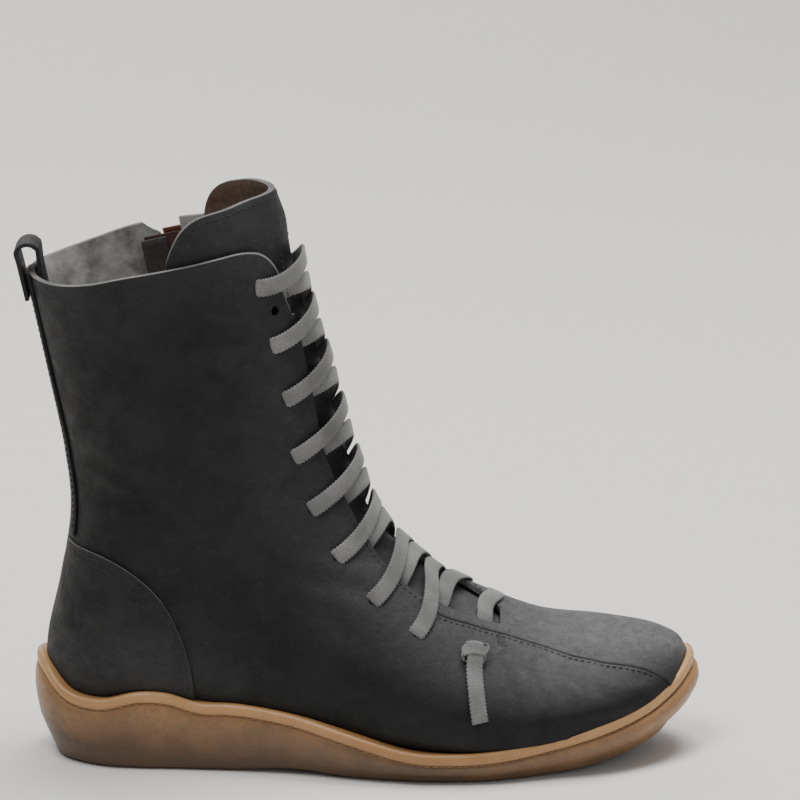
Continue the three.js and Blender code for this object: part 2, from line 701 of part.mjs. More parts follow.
// A frame on the surface: a point, its outward normal and the direction down the boot.
function surfaceFrame(s, turn, offset) {
  const point = lastPoint(s, turn, offset);
  const step = 0.02;
  const down = lastPoint(s - step, turn, offset).sub(lastPoint(s + step, turn, offset)).normalize();
  const round = lastPoint(s, turn + step, offset).sub(lastPoint(s, turn - step, offset)).normalize();
  const normal = new THREE.Vector3().crossVectors(round, down).normalize();
  if (normal.dot(lastPoint(s, turn, offset + 1).sub(point)) < 0) normal.negate();
  return { point, normal, down: new THREE.Vector3().crossVectors(normal, round).negate(), round };
}

function eyeletCutter({ s, turn }) {
  const { point, normal } = surfaceFrame(s, turn, 0);
  const geometry = new THREE.CylinderGeometry(EYELET_DIAMETER / 2, EYELET_DIAMETER / 2, 12, 8);
  geometry.applyQuaternion(new THREE.Quaternion().setFromUnitVectors(new THREE.Vector3(0, 1, 0), normal));
  return solidOf(geometry.translate(point.x, point.y, point.z));
}

function upperSolid() {
  const collar = aboveCollar();
  const margin = seatPlug(0, [-10, WALL + 1.5]);
  const knots = [lowerKnotEyelet, upperKnotEyelet];
  const eyelets = [...lateralEyelets, ...medialEyelets, firstEyelet, spareEyelet, ...knots];
  const cuts = wasm.Manifold.union([collar, margin, throatCutter(), zipCutter(), ...eyelets.map(eyeletCutter)]);
  return lastSolid(0).subtract(lastSolid(-WALL)).subtract(cuts);
}

function counterSolid() {
  return lastSolid(CLEARANCE + OVERLAY)
    .subtract(lastSolid(CLEARANCE))
    .intersect(sidePrism(counterOutline(0)));
}

function counterClearance() {
  return lastSolid(2 * CLEARANCE + OVERLAY).intersect(sidePrism(counterOutline(CLEARANCE)));
}

// The station whose seat point, at the back of the shaft, has a given height.
const backStation = (z) => range(FOOT.length + 2, LAST_END, FRONT_STEPS).find((s) => sectionAt(s).seatZ >= z);

function stripSolid() {
  const from = backStation(COUNTER_HEIGHT + 2 * CLEARANCE + 1);
  const to = backStation(COLLAR_HEIGHT - 0.5);
  const halfTurn = (s) => {
    const share = (s - from) / (to - from);
    const half = STRIP_FOOT_HALF + (STRIP_TOP_HALF - STRIP_FOOT_HALF) * share;
    const section = grownSection(s, 0);
    return Math.asin(Math.min(half / section.toMedial, 1) ** (section.sole / 2));
  };
  const region = patchSolid({
    from,
    to,
    steps: 12,
    turnA: (s) => Math.PI - halfTurn(s),
    turnB: (s) => Math.PI + halfTurn(s),
    columns: 6,
    inner: -2 * OVERLAY,
    outer: 3 * OVERLAY,
  });
  return lastSolid(CLEARANCE + OVERLAY).subtract(lastSolid(CLEARANCE)).intersect(region);
}

// A folded strip over the back of the collar: an arch with one leg inside the wall and one outside.
function loopSolid() {
  const sag = LOOP_WIDTH ** 2 / (4 * SHAFT_WIDTH) + 2 * CLEARANCE;
  const innerX = back.seatX + WALL + CLEARANCE + LOOP_STRIP + sag;
  const outerX = back.seatX - 2 * CLEARANCE - OVERLAY - LOOP_STRIP;
  const middle = [(innerX + outerX) / 2 - 1.2, COLLAR_HEIGHT + LOOP_HEIGHT - LOOP_DEPTH / 2];
  const low = COLLAR_HEIGHT - LOOP_LEG;
  const lean = backLean();
  const line = [
    [innerX + lean * LOOP_LEG, low],
    [innerX, COLLAR_HEIGHT + 1],
    ...range(0.15, 0.95, 8).map((turn) => [
      middle[0] + (LOOP_DEPTH / 2) * Math.cos(Math.PI * turn),
      middle[1] + (LOOP_DEPTH / 2) * Math.sin(Math.PI * turn),
    ]),
    [outerX - 0.6, COLLAR_HEIGHT + 2],
    [outerX + lean * LOOP_LEG, low],
  ];
  const inside = line.map(([x, z], i) => {
    const [ax, az] = line[Math.max(i - 1, 0)];
    const [bx, bz] = line[Math.min(i + 1, line.length - 1)];
    const length = Math.hypot(bx - ax, bz - az);
    return [x - (LOOP_STRIP * (bz - az)) / length, z + (LOOP_STRIP * (bx - ax)) / length];
  });
  return sidePrism([...line, ...inside.reverse()], LOOP_WIDTH);
}

// How far the back of the shaft leans forward for each millimetre down.
function backLean() {
  const below = sectionAt(backStation(COLLAR_HEIGHT - LOOP_LEG));
  return (below.seatX - back.seatX) / (back.seatZ - below.seatZ);
}

function tongueSolid() {
  const outer = -(WALL + CLEARANCE);
  const slab = patchSolid({
    from: stationDown(THROAT_LENGTH - 4),
    to: LAST_END,
    steps: 30,
    turnA: (s) => tongueEdge(s, -1),
    turnB: (s) => tongueEdge(s, 1),
    columns: 14,
    inner: outer - TONGUE_THICKNESS,
    outer,
  });
  const top = TONGUE_TOP_LINE.map(([x, z]) => [lengthAt(x), z * COLLAR_HEIGHT]);
  return slab.intersect(sidePrism([[top[0][0], 0], ...top, [SOLE_LENGTH, top.at(-1)[1]], [SOLE_LENGTH, 0]]));
}

// The tongue reaches under each side of the throat, little at the vamp and far round the shaft at the top.
function tongueEdge(s, side) {
  const station = Math.min(s, COLLAR_STATION);
  const top = side < 0 ? TONGUE_LATERAL_REACH : TONGUE_MEDIAL_REACH;
  const reach = TONGUE_FOOT_REACH + (top - TONGUE_FOOT_REACH) * (1 - throatShare(station)) ** 1.5;
  return behindEdge(station, side, reach);
}

// A flat strap along a line of surface places, each a station, a turn and an offset of its underside.
function strapSolid(places) {
  const frames = places.map(({ s, turn, offset }) => ({ ...surfaceFrame(s, turn, 0), offset }));
  const rings = frames.map((frame, i) => {
    const before = frames[Math.max(i - 1, 0)].point;
    const after = frames[Math.min(i + 1, frames.length - 1)].point;
    const along = after.clone().sub(before).normalize();
    const across = new THREE.Vector3().crossVectors(frame.normal, along).normalize();
    const corner = (side, height) =>
      frame.point
        .clone()
        .addScaledVector(across, (side * LACE_WIDTH) / 2)
        .addScaledVector(frame.normal, height);
    const low = frame.offset;
    const high = low + LACE_THICKNESS;
    return [corner(-1, low), corner(1, low), corner(1, high), corner(-1, high)];
  });
  return solidOf(ringsGeometry(rings));
}

// A crossing from its eyelet over the throat to the far edge, where it ends just above the tongue.
function crossing([down, setback, endDown], side) {
  const eyelet = eyeletOf([down, setback], side);
  const endStation = stationDown(endDown);
  const endTurn = (side < 0 ? medialEdge : lateralEdge)(endStation, -STRAP_END_INSET);
  return strapSolid(
    range(0, 1, 12).map((share) => ({
      s: eyelet.s + (endStation - eyelet.s) * share,
      turn: eyelet.turn + (endTurn - eyelet.turn) * share,
      offset: LACE_LIFT * (1 + 0.8 * Math.sin(Math.PI * share) - 1.2 * share ** 6),
    })),
  );
}

// Each outer crossing lies over the inner one that leads to the same side of its eyelet.
function lacePair(k) {
  return crossing(LATERAL_EYELETS[k], -1).add(crossing(MEDIAL_EYELETS[k], 1));
}

// A knot stands over its eyelet, and the lace's end hangs down the leather from it.
function knotSolid(eyelet) {
  const { point, normal } = surfaceFrame(eyelet.s, eyelet.turn, 0);
  const geometry = new THREE.SphereGeometry(KNOT_SIZE / 2, 10, 8).scale(1, 1, 0.62);
  geometry.applyQuaternion(new THREE.Quaternion().setFromUnitVectors(new THREE.Vector3(0, 0, 1), normal));
  const lift = 0.31 * KNOT_SIZE + 2 * CLEARANCE;
  const place = point.clone().addScaledVector(normal, lift);
  return solidOf(geometry.translate(place.x, place.y, place.z));
}

function laceEnd(eyelet, length, [downStep, roundStep]) {
  const start = KNOT_SIZE / 2 + CLEARANCE;
  const places = [];
  let { s, turn } = eyelet;
  let before = lastPoint(s, turn, 0);
  for (let walked = 0; walked < start + length; ) {
    s -= downStep;
    turn += Math.sign(eyelet.turn) * roundStep;
    const here = lastPoint(s, turn, 0);
    walked += here.distanceTo(before);
    before = here;
    if (walked >= start + places.length * LACE_STEP) places.push({ s, turn, offset: 3 * CLEARANCE });
  }
  return strapSolid(places);
}

// Zip parts lie on the tape behind the slit.
const chainTop = zipStation(zipTopZ - SLIDER_DROP);
function zipStrip(half, inner, outer, from, to) {
  return patchSolid({
    from,
    to,
    steps: 20,
    turnA: (s) => zipTurn(s, half),
    turnB: (s) => zipTurn(s, -half),
    columns: 2,
    inner,
    outer,
  });
}

function tapeSolid() {
  const outer = -(WALL + CLEARANCE);
  const inner = outer - ZIP_TAPE_THICKNESS;
  const tape = zipStrip(ZIP_TAPE / 2, inner, outer, zipStation(ZIP_FOOT_Z - 5), zipStation(zipTopZ - 5));
  const chain = zipStrip(CHAIN_WIDTH / 2, outer - 0.1, -0.5, zipStation(ZIP_FOOT_Z + 1), chainTop);
  return tape.add(chain);
}

// The slider and its pull are built with x across the zip, y down it and z outwards.
const slider = (() => {
  const s = zipStation(zipTopZ - SLIDER_DROP);
  const { point, normal } = surfaceFrame(s, zipTurn(s), 0);
  const below = lastPoint(s - 0.3, zipTurn(s - 0.3), 0).sub(point);
  const down = below.addScaledVector(normal, -below.dot(normal)).normalize();
  return { point, normal, down, across: new THREE.Vector3().crossVectors(down, normal).normalize() };
})();

function onZip(geometry) {
  const { across, down, normal, point } = slider;
  const basis = new THREE.Matrix4().makeBasis(across, down, normal);
  return solidOf(geometry.applyMatrix4(basis).translate(point.x, point.y, point.z));
}

// The hinge pin's height over the leather, and the pin's own middle.
const pinHeight = CLEARANCE + SLIDER_THICKNESS + EYE_RADIUS + CLEARANCE;
const pin = slider.point.clone().addScaledVector(slider.normal, pinHeight);

function sliderSolid() {
  const low = CLEARANCE;
  const body = new THREE.BoxGeometry(SLIDER_WIDTH, SLIDER_LENGTH, SLIDER_THICKNESS);
  const wire = new THREE.CylinderGeometry(BAIL_WIRE / 2, BAIL_WIRE / 2, SLIDER_WIDTH - 0.4, 12);
  const post = () => new THREE.BoxGeometry(POST_WIDTH, 2 * BAIL_WIRE, pinHeight + BAIL_WIRE / 2 - low);
  const aside = (SLIDER_WIDTH - POST_WIDTH) / 2;
  const middle = (pinHeight + BAIL_WIRE / 2 + low) / 2;
  return wasm.Manifold.union([
    onZip(body.translate(0, 0, low + SLIDER_THICKNESS / 2)),
    onZip(wire.rotateZ(Math.PI / 2).translate(0, 0, pinHeight)),
    onZip(post().translate(-aside, 0, middle)),
    onZip(post().translate(aside, 0, middle)),
  ]);
}

// The pull is a long plate with an eye round the pin. It hangs plumb.
function pullSolid() {
  const eyeWidth = SLIDER_WIDTH - 2 * POST_WIDTH - 2 * CLEARANCE;
  const eye = new THREE.CylinderGeometry(EYE_RADIUS, EYE_RADIUS, eyeWidth, 20).rotateZ(Math.PI / 2);
  const bore = new THREE.CylinderGeometry(BAIL_WIRE / 2 + CLEARANCE, BAIL_WIRE / 2 + CLEARANCE, 20, 20);
  const outline = new THREE.Shape();
  const half = PULL_WIDTH / 2;
  outline.moveTo(-eyeWidth / 2, 0);
  outline.lineTo(-half, EYE_RADIUS + 2);
  outline.lineTo(-half, PULL_LENGTH - half);
  outline.absarc(0, PULL_LENGTH - half, half, Math.PI, 0, true);
  outline.lineTo(half, EYE_RADIUS + 2);
  outline.lineTo(eyeWidth / 2, 0);
  const plate = new THREE.ExtrudeGeometry(outline, { depth: PULL_THICKNESS, bevelEnabled: false, curveSegments: 6 });
  const down = new THREE.Vector3(0, 0, -1);
  down.addScaledVector(slider.across, -down.dot(slider.across)).normalize();
  const out = new THREE.Vector3().crossVectors(slider.across, down);
  const basis = new THREE.Matrix4().makeBasis(slider.across, down, out);
  const place = (geometry) => solidOf(geometry.applyMatrix4(basis).translate(pin.x, pin.y, pin.z));
  return place(eye)
    .add(place(plate.translate(0, 0, -PULL_THICKNESS / 2)))
    .subtract(place(bore.rotateZ(Math.PI / 2)));
}

const LOOKS = {
  nubuck: { color: 0x2c2c2e, roughness: 0.85 },
  suede: { color: 0x8d8d8b, roughness: 0.95 },
  gum: { color: 0xa9713f, roughness: 0.6 },
  cord: { color: 0xaaa9a6, roughness: 0.9 },
  tape: { color: 0x54302a, roughness: 0.8 },
  copper: { color: 0x8f5a41, roughness: 0.35, metalness: 1 },
};

const boot = new THREE.Group();
boot.name = "boot";

function addPart(name, solid, look) {
  const { vertProperties, triVerts } = solid.getMesh();
  const geometry = new THREE.BufferGeometry()
    .setAttribute("position", new THREE.BufferAttribute(new Float32Array(vertProperties), 3))
    .setIndex([...triVerts]);
  geometry.computeVertexNormals();
  const mesh = new THREE.Mesh(geometry, new THREE.MeshStandardMaterial(LOOKS[look]));
  mesh.name = name;
  boot.add(mesh);
}

addPart("upper", upperSolid(), "nubuck");
addPart("sole", soleSolid(counterClearance()), "gum");
addPart("tongue", tongueSolid(), "nubuck");
addPart("insole", insoleSolid(), "suede");
addPart("counter", counterSolid(), "nubuck");
addPart("back_strip", stripSolid(), "nubuck");
addPart("pull_loop", loopSolid(), "nubuck");
addPart("zip_tape", tapeSolid(), "tape");
addPart("zip_slider", sliderSolid(), "copper");
addPart("zip_pull", pullSolid(), "copper");
LATERAL_EYELETS.forEach((_, k) => addPart(`lace_pair_${k + 1}`, lacePair(k), "cord"));
addPart("lace_first_crossing", crossing(FIRST_EYELET, 1), "cord");
addPart("lace_knot_lower", knotSolid(lowerKnotEyelet), "cord");
addPart("lace_end_lower", laceEnd(lowerKnotEyelet, LOWER_END_LENGTH, LOWER_END_STEP), "cord");
addPart("lace_knot_upper", knotSolid(upperKnotEyelet), "cord");
addPart("lace_end_upper", laceEnd(upperKnotEyelet, UPPER_END_LENGTH, UPPER_END_STEP), "cord");

export default boot;
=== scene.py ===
"""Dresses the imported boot: leather, lining, rubber, lace, stitches and zip, built round the CAD frame.

Shapes are worked out in millimetres from the same sections as the CAD, and made in metres.
"""

import math

import bmesh
import bpy
import numpy as np
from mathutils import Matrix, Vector
from mathutils.kdtree import KDTree


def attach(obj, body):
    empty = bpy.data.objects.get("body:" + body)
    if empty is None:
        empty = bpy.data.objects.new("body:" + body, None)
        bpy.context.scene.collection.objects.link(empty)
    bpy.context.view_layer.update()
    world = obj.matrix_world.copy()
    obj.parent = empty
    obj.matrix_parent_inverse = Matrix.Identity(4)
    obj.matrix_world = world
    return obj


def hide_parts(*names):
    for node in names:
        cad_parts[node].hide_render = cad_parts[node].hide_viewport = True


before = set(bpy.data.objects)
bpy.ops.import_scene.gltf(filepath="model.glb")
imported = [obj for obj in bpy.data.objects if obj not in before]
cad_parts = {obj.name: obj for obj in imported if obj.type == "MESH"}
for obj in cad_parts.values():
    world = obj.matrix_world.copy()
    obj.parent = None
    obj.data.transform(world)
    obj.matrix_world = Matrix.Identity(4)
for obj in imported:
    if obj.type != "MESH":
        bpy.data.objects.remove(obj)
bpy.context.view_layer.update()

MM = 0.001
SOLE_LENGTH, BALL_WIDTH, SHAFT_WIDTH = 271.5, 98, 82
INSTEP_HEIGHT, COLLAR_HEIGHT, SEAT_HEIGHT, RIM_HEIGHT = 104, 204, 22, 44
TOE_SPRING, HEEL_BACK, WALL, CLEARANCE, OVERLAY = 9, 41.5, 2.4, 0.3, 1.2
RIM_LEDGE, BEAD_DROP, GROOVE_HEIGHT = 3.2, 4.6, 1.3
BOTTOM_EDGE, WAIST_ARCH, SIDE_TUCK, SOLE_BULGE, SPRING_START = 3, 5.5, 0.05, 0.45, 0.69
LASTING_MARGIN, INSOLE_THICKNESS = 7, 3.5
COLLAR_TILT, THROAT_LENGTH = 0.057, 199
TONGUE_THICKNESS, TONGUE_LATERAL_REACH, TONGUE_MEDIAL_REACH, TONGUE_FOOT_REACH = 2.6, 56, 38, 13
EYELET_DIAMETER, LACE_WIDTH, LACE_THICKNESS = 4, 7, 1.2
ZIP_TOP_X, ZIP_FOOT_X, ZIP_FOOT_Z, ZIP_SLIT = 14, 50, 50, 8
COUNTER_HEIGHT, COUNTER_LENGTH = 92, 66

# x, crownX, seat, crown, lateral, medial, ridge, belly, lat, med, sole: as in the CAD's tables
FOOT = [
    (0.979, 0.989, 1.3, 0.385, 0.02, 0.153, 0.087, 0.4, 2, 2, 2),
    (0.969, 0.979, 1.05, 0.433, -0.067, 0.235, 0.09, 0.42, 2, 2, 2.4),
    (0.949, 0.963, 0.87, 0.46, -0.163, 0.291, 0.094, 0.41, 1.8, 2, 3),
    (0.913, 0.926, 0.73, 0.488, -0.27, 0.355, 0.107, 0.39, 1.65, 2.1, 3.8),
    (0.854, 0.856, 0.57, 0.51, -0.378, 0.42, 0.117, 0.36, 1.55, 2.2, 4.6),
    (0.762, 0.766, 0.4, 0.536, -0.458, 0.452, 0.117, 0.33, 1.55, 2.2, 5),
    (0.669, 0.68, 0.35, 0.63, -0.502, 0.446, 0.09, 0.3, 1.6, 2.1, 5),
    (0.559, 0.61, 0.42, 0.738, -0.488, 0.379, 0.051, 0.31, 1.7, 2, 4.6),
    (0.447, 0.556, 0.6, 0.865, -0.428, 0.328, 0.031, 0.34, 1.8, 1.9, 4),
    (0.319, 0.517, 0.82, 1, -0.378, 0.319, 0.01, 0.35, 1.9, 1.9, 3.4),
]
SHAFT = [
    (0.178, 0.496, 0.108, 0.578, -0.42, 0.405, 0, 0.36, 2, 2, 2.8),
    (0.062, 0.479, 0.116, 0.647, -0.418, 0.418, 0, 0.36, 2, 2, 2.4),
    (0.024, 0.467, 0.182, 0.703, -0.42, 0.42, 0, 0.36, 2, 2, 2.2),
    (0.022, 0.458, 0.255, 0.748, -0.424, 0.424, 0, 0.38, 2, 2, 2.1),
    (0.042, 0.444, 0.373, 0.816, -0.432, 0.432, 0, 0.4, 2, 2, 2),
    (0.059, 0.427, 0.51, 0.892, -0.446, 0.446, 0, 0.42, 2, 2, 2),
    (0.052, 0.414, 0.637, 0.956, -0.466, 0.466, 0, 0.43, 2, 2, 2),
    (0.029, 0.404, 0.799, 1.02, -0.488, 0.488, 0, 0.44, 2, 2, 2),
    (-0.002, 0.393, 1, 1.098, -0.5, 0.5, 0, 0.45, 2, 2, 2),
    (-0.026, 0.359, 1.157, 1.216, -0.5, 0.5, 0, 0.45, 2, 2, 2),
]
# x, y, rim, tuck round the sole
SOLE_EDGE = [
    (0, 0, 1, 0.07),
    (0.014, -0.153, 0.93, 0.07),
    (0.048, -0.255, 0.74, 0.066),
    (0.1, -0.323, 0.7, 0.056),
    (0.155, -0.345, 0.78, 0.051),
    (0.2, -0.352, 0.775, 0.051),
    (0.25, -0.362, 0.69, 0.051),
    (0.31, -0.379, 0.68, 0.051),
    (0.39, -0.418, 0.605, 0.051),
    (0.47, -0.474, 0.47, 0.051),
    (0.55, -0.515, 0.34, 0.046),
    (0.61, -0.526, 0.305, 0.041),
    (0.69, -0.51, 0.32, 0.041),
    (0.77, -0.452, 0.385, 0.046),
    (0.852, -0.39, 0.495, 0.056),
    (0.92, -0.275, 0.61, 0.071),
    (0.966, -0.145, 0.745, 0.087),
    (0.993, -0.01, 0.87, 0.097),
    (1, 0.09, 0.92, 0.102),
    (0.993, 0.19, 0.91, 0.097),
    (0.962, 0.295, 0.79, 0.087),
    (0.905, 0.385, 0.61, 0.071),
    (0.83, 0.446, 0.455, 0.056),
    (0.75, 0.474, 0.36, 0.046),
    (0.67, 0.469, 0.32, 0.046),
    (0.6, 0.428, 0.36, 0.051),
    (0.53, 0.367, 0.47, 0.056),
    (0.45, 0.316, 0.61, 0.056),
    (0.37, 0.3, 0.7, 0.051),
    (0.3, 0.306, 0.73, 0.051),
    (0.24, 0.32, 0.73, 0.051),
    (0.17, 0.338, 0.78, 0.051),
    (0.1, 0.323, 0.71, 0.056),
    (0.048, 0.255, 0.76, 0.066),
    (0.014, 0.153, 0.93, 0.07),
]
COLLAR_LINE = [
    (-0.02, 0.997),
    (0.037, 1),
    (0.093, 1.014),
    (0.139, 1.031),
    (0.185, 1.043),
    (0.244, 1.056),
    (0.304, 1.069),
    (0.328, 1.069),
    (0.345, 1.062),
    (0.36, 1.043),
    (0.371, 1.015),
    (0.377, 0.98),
    (0.39, 0.93),
]
THROAT = [
    (0, -0.174, 0.174),
    (0.3, -0.165, 0.165),
    (0.6, -0.17, 0.158),
    (0.78, -0.215, 0.128),
    (0.855, -0.207, 0.102),
    (0.915, -0.178, 0.068),
    (0.955, -0.163, 0.015),
    (0.985, -0.158, -0.085),
    (1, -0.158, -0.15),
]
TONGUE_TOP_LINE = [
    (0.181, 1),
    (0.19, 1.07),
    (0.213, 1.108),
    (0.244, 1.131),
    (0.296, 1.147),
    (0.337, 1.16),
    (0.4, 1.163),
]
LATERAL_EYELETS = [
    (15, 17, 20),
    (35.7, 15, 40),
    (57, 14, 60),
    (79.3, 14.5, 83),
    (100.3, 15.5, 107),
    (119.5, 17, 128),
    (138, 17, 148),
    (157, 17, 164),
]
MEDIAL_EYELETS = [
    (37, 14, 22.5),
    (56, 14, 43),
    (78, 14, 63),
    (100, 15, 86.5),
    (121, 15, 108.5),
    (139, 15, 127.5),
    (158, 14, 146.5),
    (176, 13, 165),
]
FIRST_EYELET, SPARE_EYELET = (190, 11), (25.5, 10.6)
LOWER_KNOT_EYELET, UPPER_KNOT_EYELET = (179.8, 18), (12, 17)

LAST_END = len(FOOT) + len(SHAFT) - 1
COLLAR_STATION = LAST_END - 1


def length_at(share):
    return share * SOLE_LENGTH - HEEL_BACK


def scaled(row, wide, high, low):
    x, crown_x, seat, crown, lateral, medial, ridge, *form = row
    widths = [lateral * wide, medial * wide, ridge * wide]
    return [length_at(x), seat * low, length_at(crown_x), crown * high, *widths, *form]


SECTIONS = np.array(
    [scaled(row, BALL_WIDTH, INSTEP_HEIGHT, SEAT_HEIGHT) for row in FOOT]
    + [scaled(row, SHAFT_WIDTH, COLLAR_HEIGHT, COLLAR_HEIGHT) for row in SHAFT]
)


def through(a, b, c, d, t):
    """Smooth curve through four values, t from 0 to 1 between the middle two."""
    return b + 0.5 * t * (c - a + t * (2 * a - 5 * b + 4 * c - d + t * (3 * (b - c) + d - a)))


def section_at(s):
    s = np.clip(np.asarray(s, float), 0, LAST_END)
    i = np.minimum(s.astype(int), LAST_END - 1)
    rows = [SECTIONS[np.clip(i + k, 0, LAST_END)] for k in (-1, 0, 1, 2)]
    return np.moveaxis(through(*rows, (s - i)[..., None]), -1, 0)


def last(s, phi, offset=0.0):
    """Points of the last at stations s, turned phi from the crown to the inner side, offset outwards."""
    s, phi, offset = np.broadcast_arrays(np.asarray(s, float), phi, offset)
    seat_x, seat_z, crown_x, crown_z, lateral, medial, ridge, belly, lat, med, sole = section_at(s)
    along_x, along_z = crown_x - seat_x, crown_z - seat_z
    height = np.hypot(along_x, along_z)
    unit_x, unit_z = along_x / height, along_z / height
    nose = offset * np.maximum(0, 1 - s / 4) ** 2
    cosine, sine = np.cos(phi), np.sin(phi)
    square = np.where(cosine >= 0, np.where(sine >= 0, med, lat), sole)
    across = np.abs(sine) ** (2 / square)
    up = np.abs(cosine) ** (2 / square)
    rise = np.where(cosine >= 0, belly + (1 - belly) * up, belly * (1 - up)) * (height + 2 * offset)
    half = np.where(sine >= 0, medial - ridge + offset, lateral - ridge - offset)
    return np.stack(
        [
            seat_x - offset * unit_x + nose + unit_x * rise,
            ridge + half * across,
            seat_z - offset * unit_z + unit_z * rise,
        ],
        -1,
    )


def turn_for_y(s, y):
    *_, lateral, medial, ridge, _, lat, med, _ = section_at(s)
    side = 1 if y >= ridge else -1
    half, square = (medial - ridge, med) if side > 0 else (ridge - lateral, lat)
    return side * math.asin(min(abs(y - ridge) / half, 1) ** (square / 2))


def turn_for_rise(s, share):
    belly, _, med, sole = section_at(s)[7:]
    if share >= belly:
        return math.acos(min((share - belly) / (1 - belly), 1) ** (med / 2))
    return math.pi - math.acos(min(1 - share / belly, 1) ** (sole / 2))


FRONT_STATIONS = np.linspace(COLLAR_STATION, 0, 401)
FRONT_STEPS = np.linalg.norm(np.diff(last(FRONT_STATIONS, 0), axis=0), axis=1)
FRONT_DISTANCES = np.concatenate([[0], np.cumsum(FRONT_STEPS)])


def station_down(distance):
    """The station whose crown lies a distance down the front from the collar."""
    if distance <= 0:
        return COLLAR_STATION - distance / 30
    return float(np.interp(distance, FRONT_DISTANCES, FRONT_STATIONS))


def down_at(s):
    return float(np.interp(-s, -FRONT_STATIONS, FRONT_DISTANCES))


def throat_share(s):
    return min(down_at(s) / THROAT_LENGTH, 1)


def throat_side(s, column):
    share = throat_share(s)
    end = len(THROAT) - 1
    after = next((i for i, row in enumerate(THROAT) if row[0] > share), end)
    at = end - 1 if share >= 1 else min(max(after - 1, 0), end - 1)
    values = [THROAT[min(max(at + k, 0), end)][column] * BALL_WIDTH for k in (-1, 0, 1, 2)]
    return through(*values, (share - THROAT[at][0]) / (THROAT[at + 1][0] - THROAT[at][0]))


def throat_edge(s, side, back=0.0):
    """The turn of the throat's edge on one side, moved back from the opening by a distance across."""
    return turn_for_y(s, throat_side(s, 1 if side < 0 else 2) + side * back)


def behind_edge(s, side, setback):
    """The turn that lies a distance along the surface behind a throat edge."""
    turns = throat_edge(s, side) + side * np.sign(setback or 1) * np.arange(0, 2.4, 0.004)
    gone = np.concatenate([[0], np.cumsum(np.linalg.norm(np.diff(last(s, turns), axis=0), axis=1))])
    return float(np.interp(abs(setback), gone, turns))


ZIP_TOP_Z = COLLAR_HEIGHT * 1.05
ZIP_SLOPE = (ZIP_FOOT_X - ZIP_TOP_X) / (ZIP_FOOT_Z - ZIP_TOP_Z)


def zip_turn(s, aside=0.0):
    seat_x, seat_z, crown_x, crown_z = section_at(s)[:4]
    height = math.hypot(crown_x - seat_x, crown_z - seat_z)
    unit_x, unit_z = (crown_x - seat_x) / height, (crown_z - seat_z) / height
    along = (ZIP_TOP_X + aside + ZIP_SLOPE * (seat_z - ZIP_TOP_Z) - seat_x) / (unit_x - ZIP_SLOPE * unit_z)
    return turn_for_rise(s, min(max(along / height, 0.05), 0.95))


ZIP_STATIONS = np.linspace(5, COLLAR_STATION + 0.5, 401)
ZIP_HEIGHTS = np.array([last(s, zip_turn(s))[2] for s in ZIP_STATIONS])


def zip_station(z):
    return float(ZIP_STATIONS[np.argmax(ZIP_HEIGHTS >= z)])


def surface_frame(s, turn, offset=0.0):
    """Point, outward normal, direction down the boot and direction round it."""
    point = last(s, turn, offset)
    down = last(s - 0.02, turn, offset) - last(s + 0.02, turn, offset)
    around = last(s, turn + 0.02, offset) - last(s, turn - 0.02, offset)
    around /= np.linalg.norm(around)
    normal = np.cross(around, down / np.linalg.norm(down))
    normal /= np.linalg.norm(normal)
    if normal @ (last(s, turn, offset + 1) - point) < 0:
        normal = -normal
    return point, normal, -np.cross(normal, around), around


def mesh_piece(name, points, faces, materials=(), indices=None):
    mesh = bpy.data.meshes.new(name)
    mesh.from_pydata((np.asarray(points, float).reshape(-1, 3) * MM).tolist(), [], [list(f) for f in faces])
    for made in materials:
        mesh.materials.append(made)
    if indices is not None:
        mesh.polygons.foreach_set("material_index", np.asarray(indices, np.int32))
    mesh.validate()
    piece = bpy.data.objects.new(name, mesh)
    bpy.context.scene.collection.objects.link(piece)
    return piece


def grid_faces(rows, columns, closed=False, start=0):
    """Quads of a grid of points, rows by columns; closed joins the last column to the first."""
    faces = []
    for i in range(rows - 1):
        for j in range(columns if closed else columns - 1):
            a = start + i * columns + j
            b = start + i * columns + (j + 1) % columns
            faces.append((a, b, b + columns, a + columns))
    return faces


def closed_grid(name, rings, materials=(), cap_index=0):
    """A closed solid from rings of points, with a fan on each end."""
    rings = np.asarray(rings, float)
    rows, columns = rings.shape[:2]
    points = [*rings.reshape(-1, 3), rings[0].mean(0), rings[-1].mean(0)]
    faces = grid_faces(rows, columns, True)
    faces += [(rows * columns, (j + 1) % columns, j) for j in range(columns)]
    top = (rows - 1) * columns
    faces += [(rows * columns + 1, top + j, top + (j + 1) % columns) for j in range(columns)]
    piece = mesh_piece(name, points, faces, materials)
    outward(piece)
    return piece


def outward(piece):
    """Turns the faces of a closed piece so that they all look outwards."""
    work = bmesh.new()
    work.from_mesh(piece.data)
    bmesh.ops.recalc_face_normals(work, faces=work.faces)
    if work.calc_volume(signed=True) < 0:
        bmesh.ops.reverse_faces(work, faces=work.faces)
    work.to_mesh(piece.data)
    work.free()


def slab(name, outer, inner, materials=()):
    """A closed sheet between two grids of points of the same size."""
    outer, inner = np.asarray(outer, float), np.asarray(inner, float)
    rows, columns = outer.shape[:2]
    count = rows * columns
    faces = grid_faces(rows, columns)
    faces += [tuple(reversed(f)) for f in grid_faces(rows, columns, start=count)]
    rim = [(0, j) for j in range(columns)] + [(i, columns - 1) for i in range(1, rows)]
    rim += [(rows - 1, j) for j in range(columns - 2, -1, -1)] + [(i, 0) for i in range(rows - 2, 0, -1)]
    rim = [i * columns + j for i, j in rim]
    faces += [(b, a, a + count, b + count) for a, b in zip(rim, rim[1:] + rim[:1])]
    piece = mesh_piece(name, np.concatenate([outer.reshape(-1, 3), inner.reshape(-1, 3)]), faces, materials)
    outward(piece)
    return piece


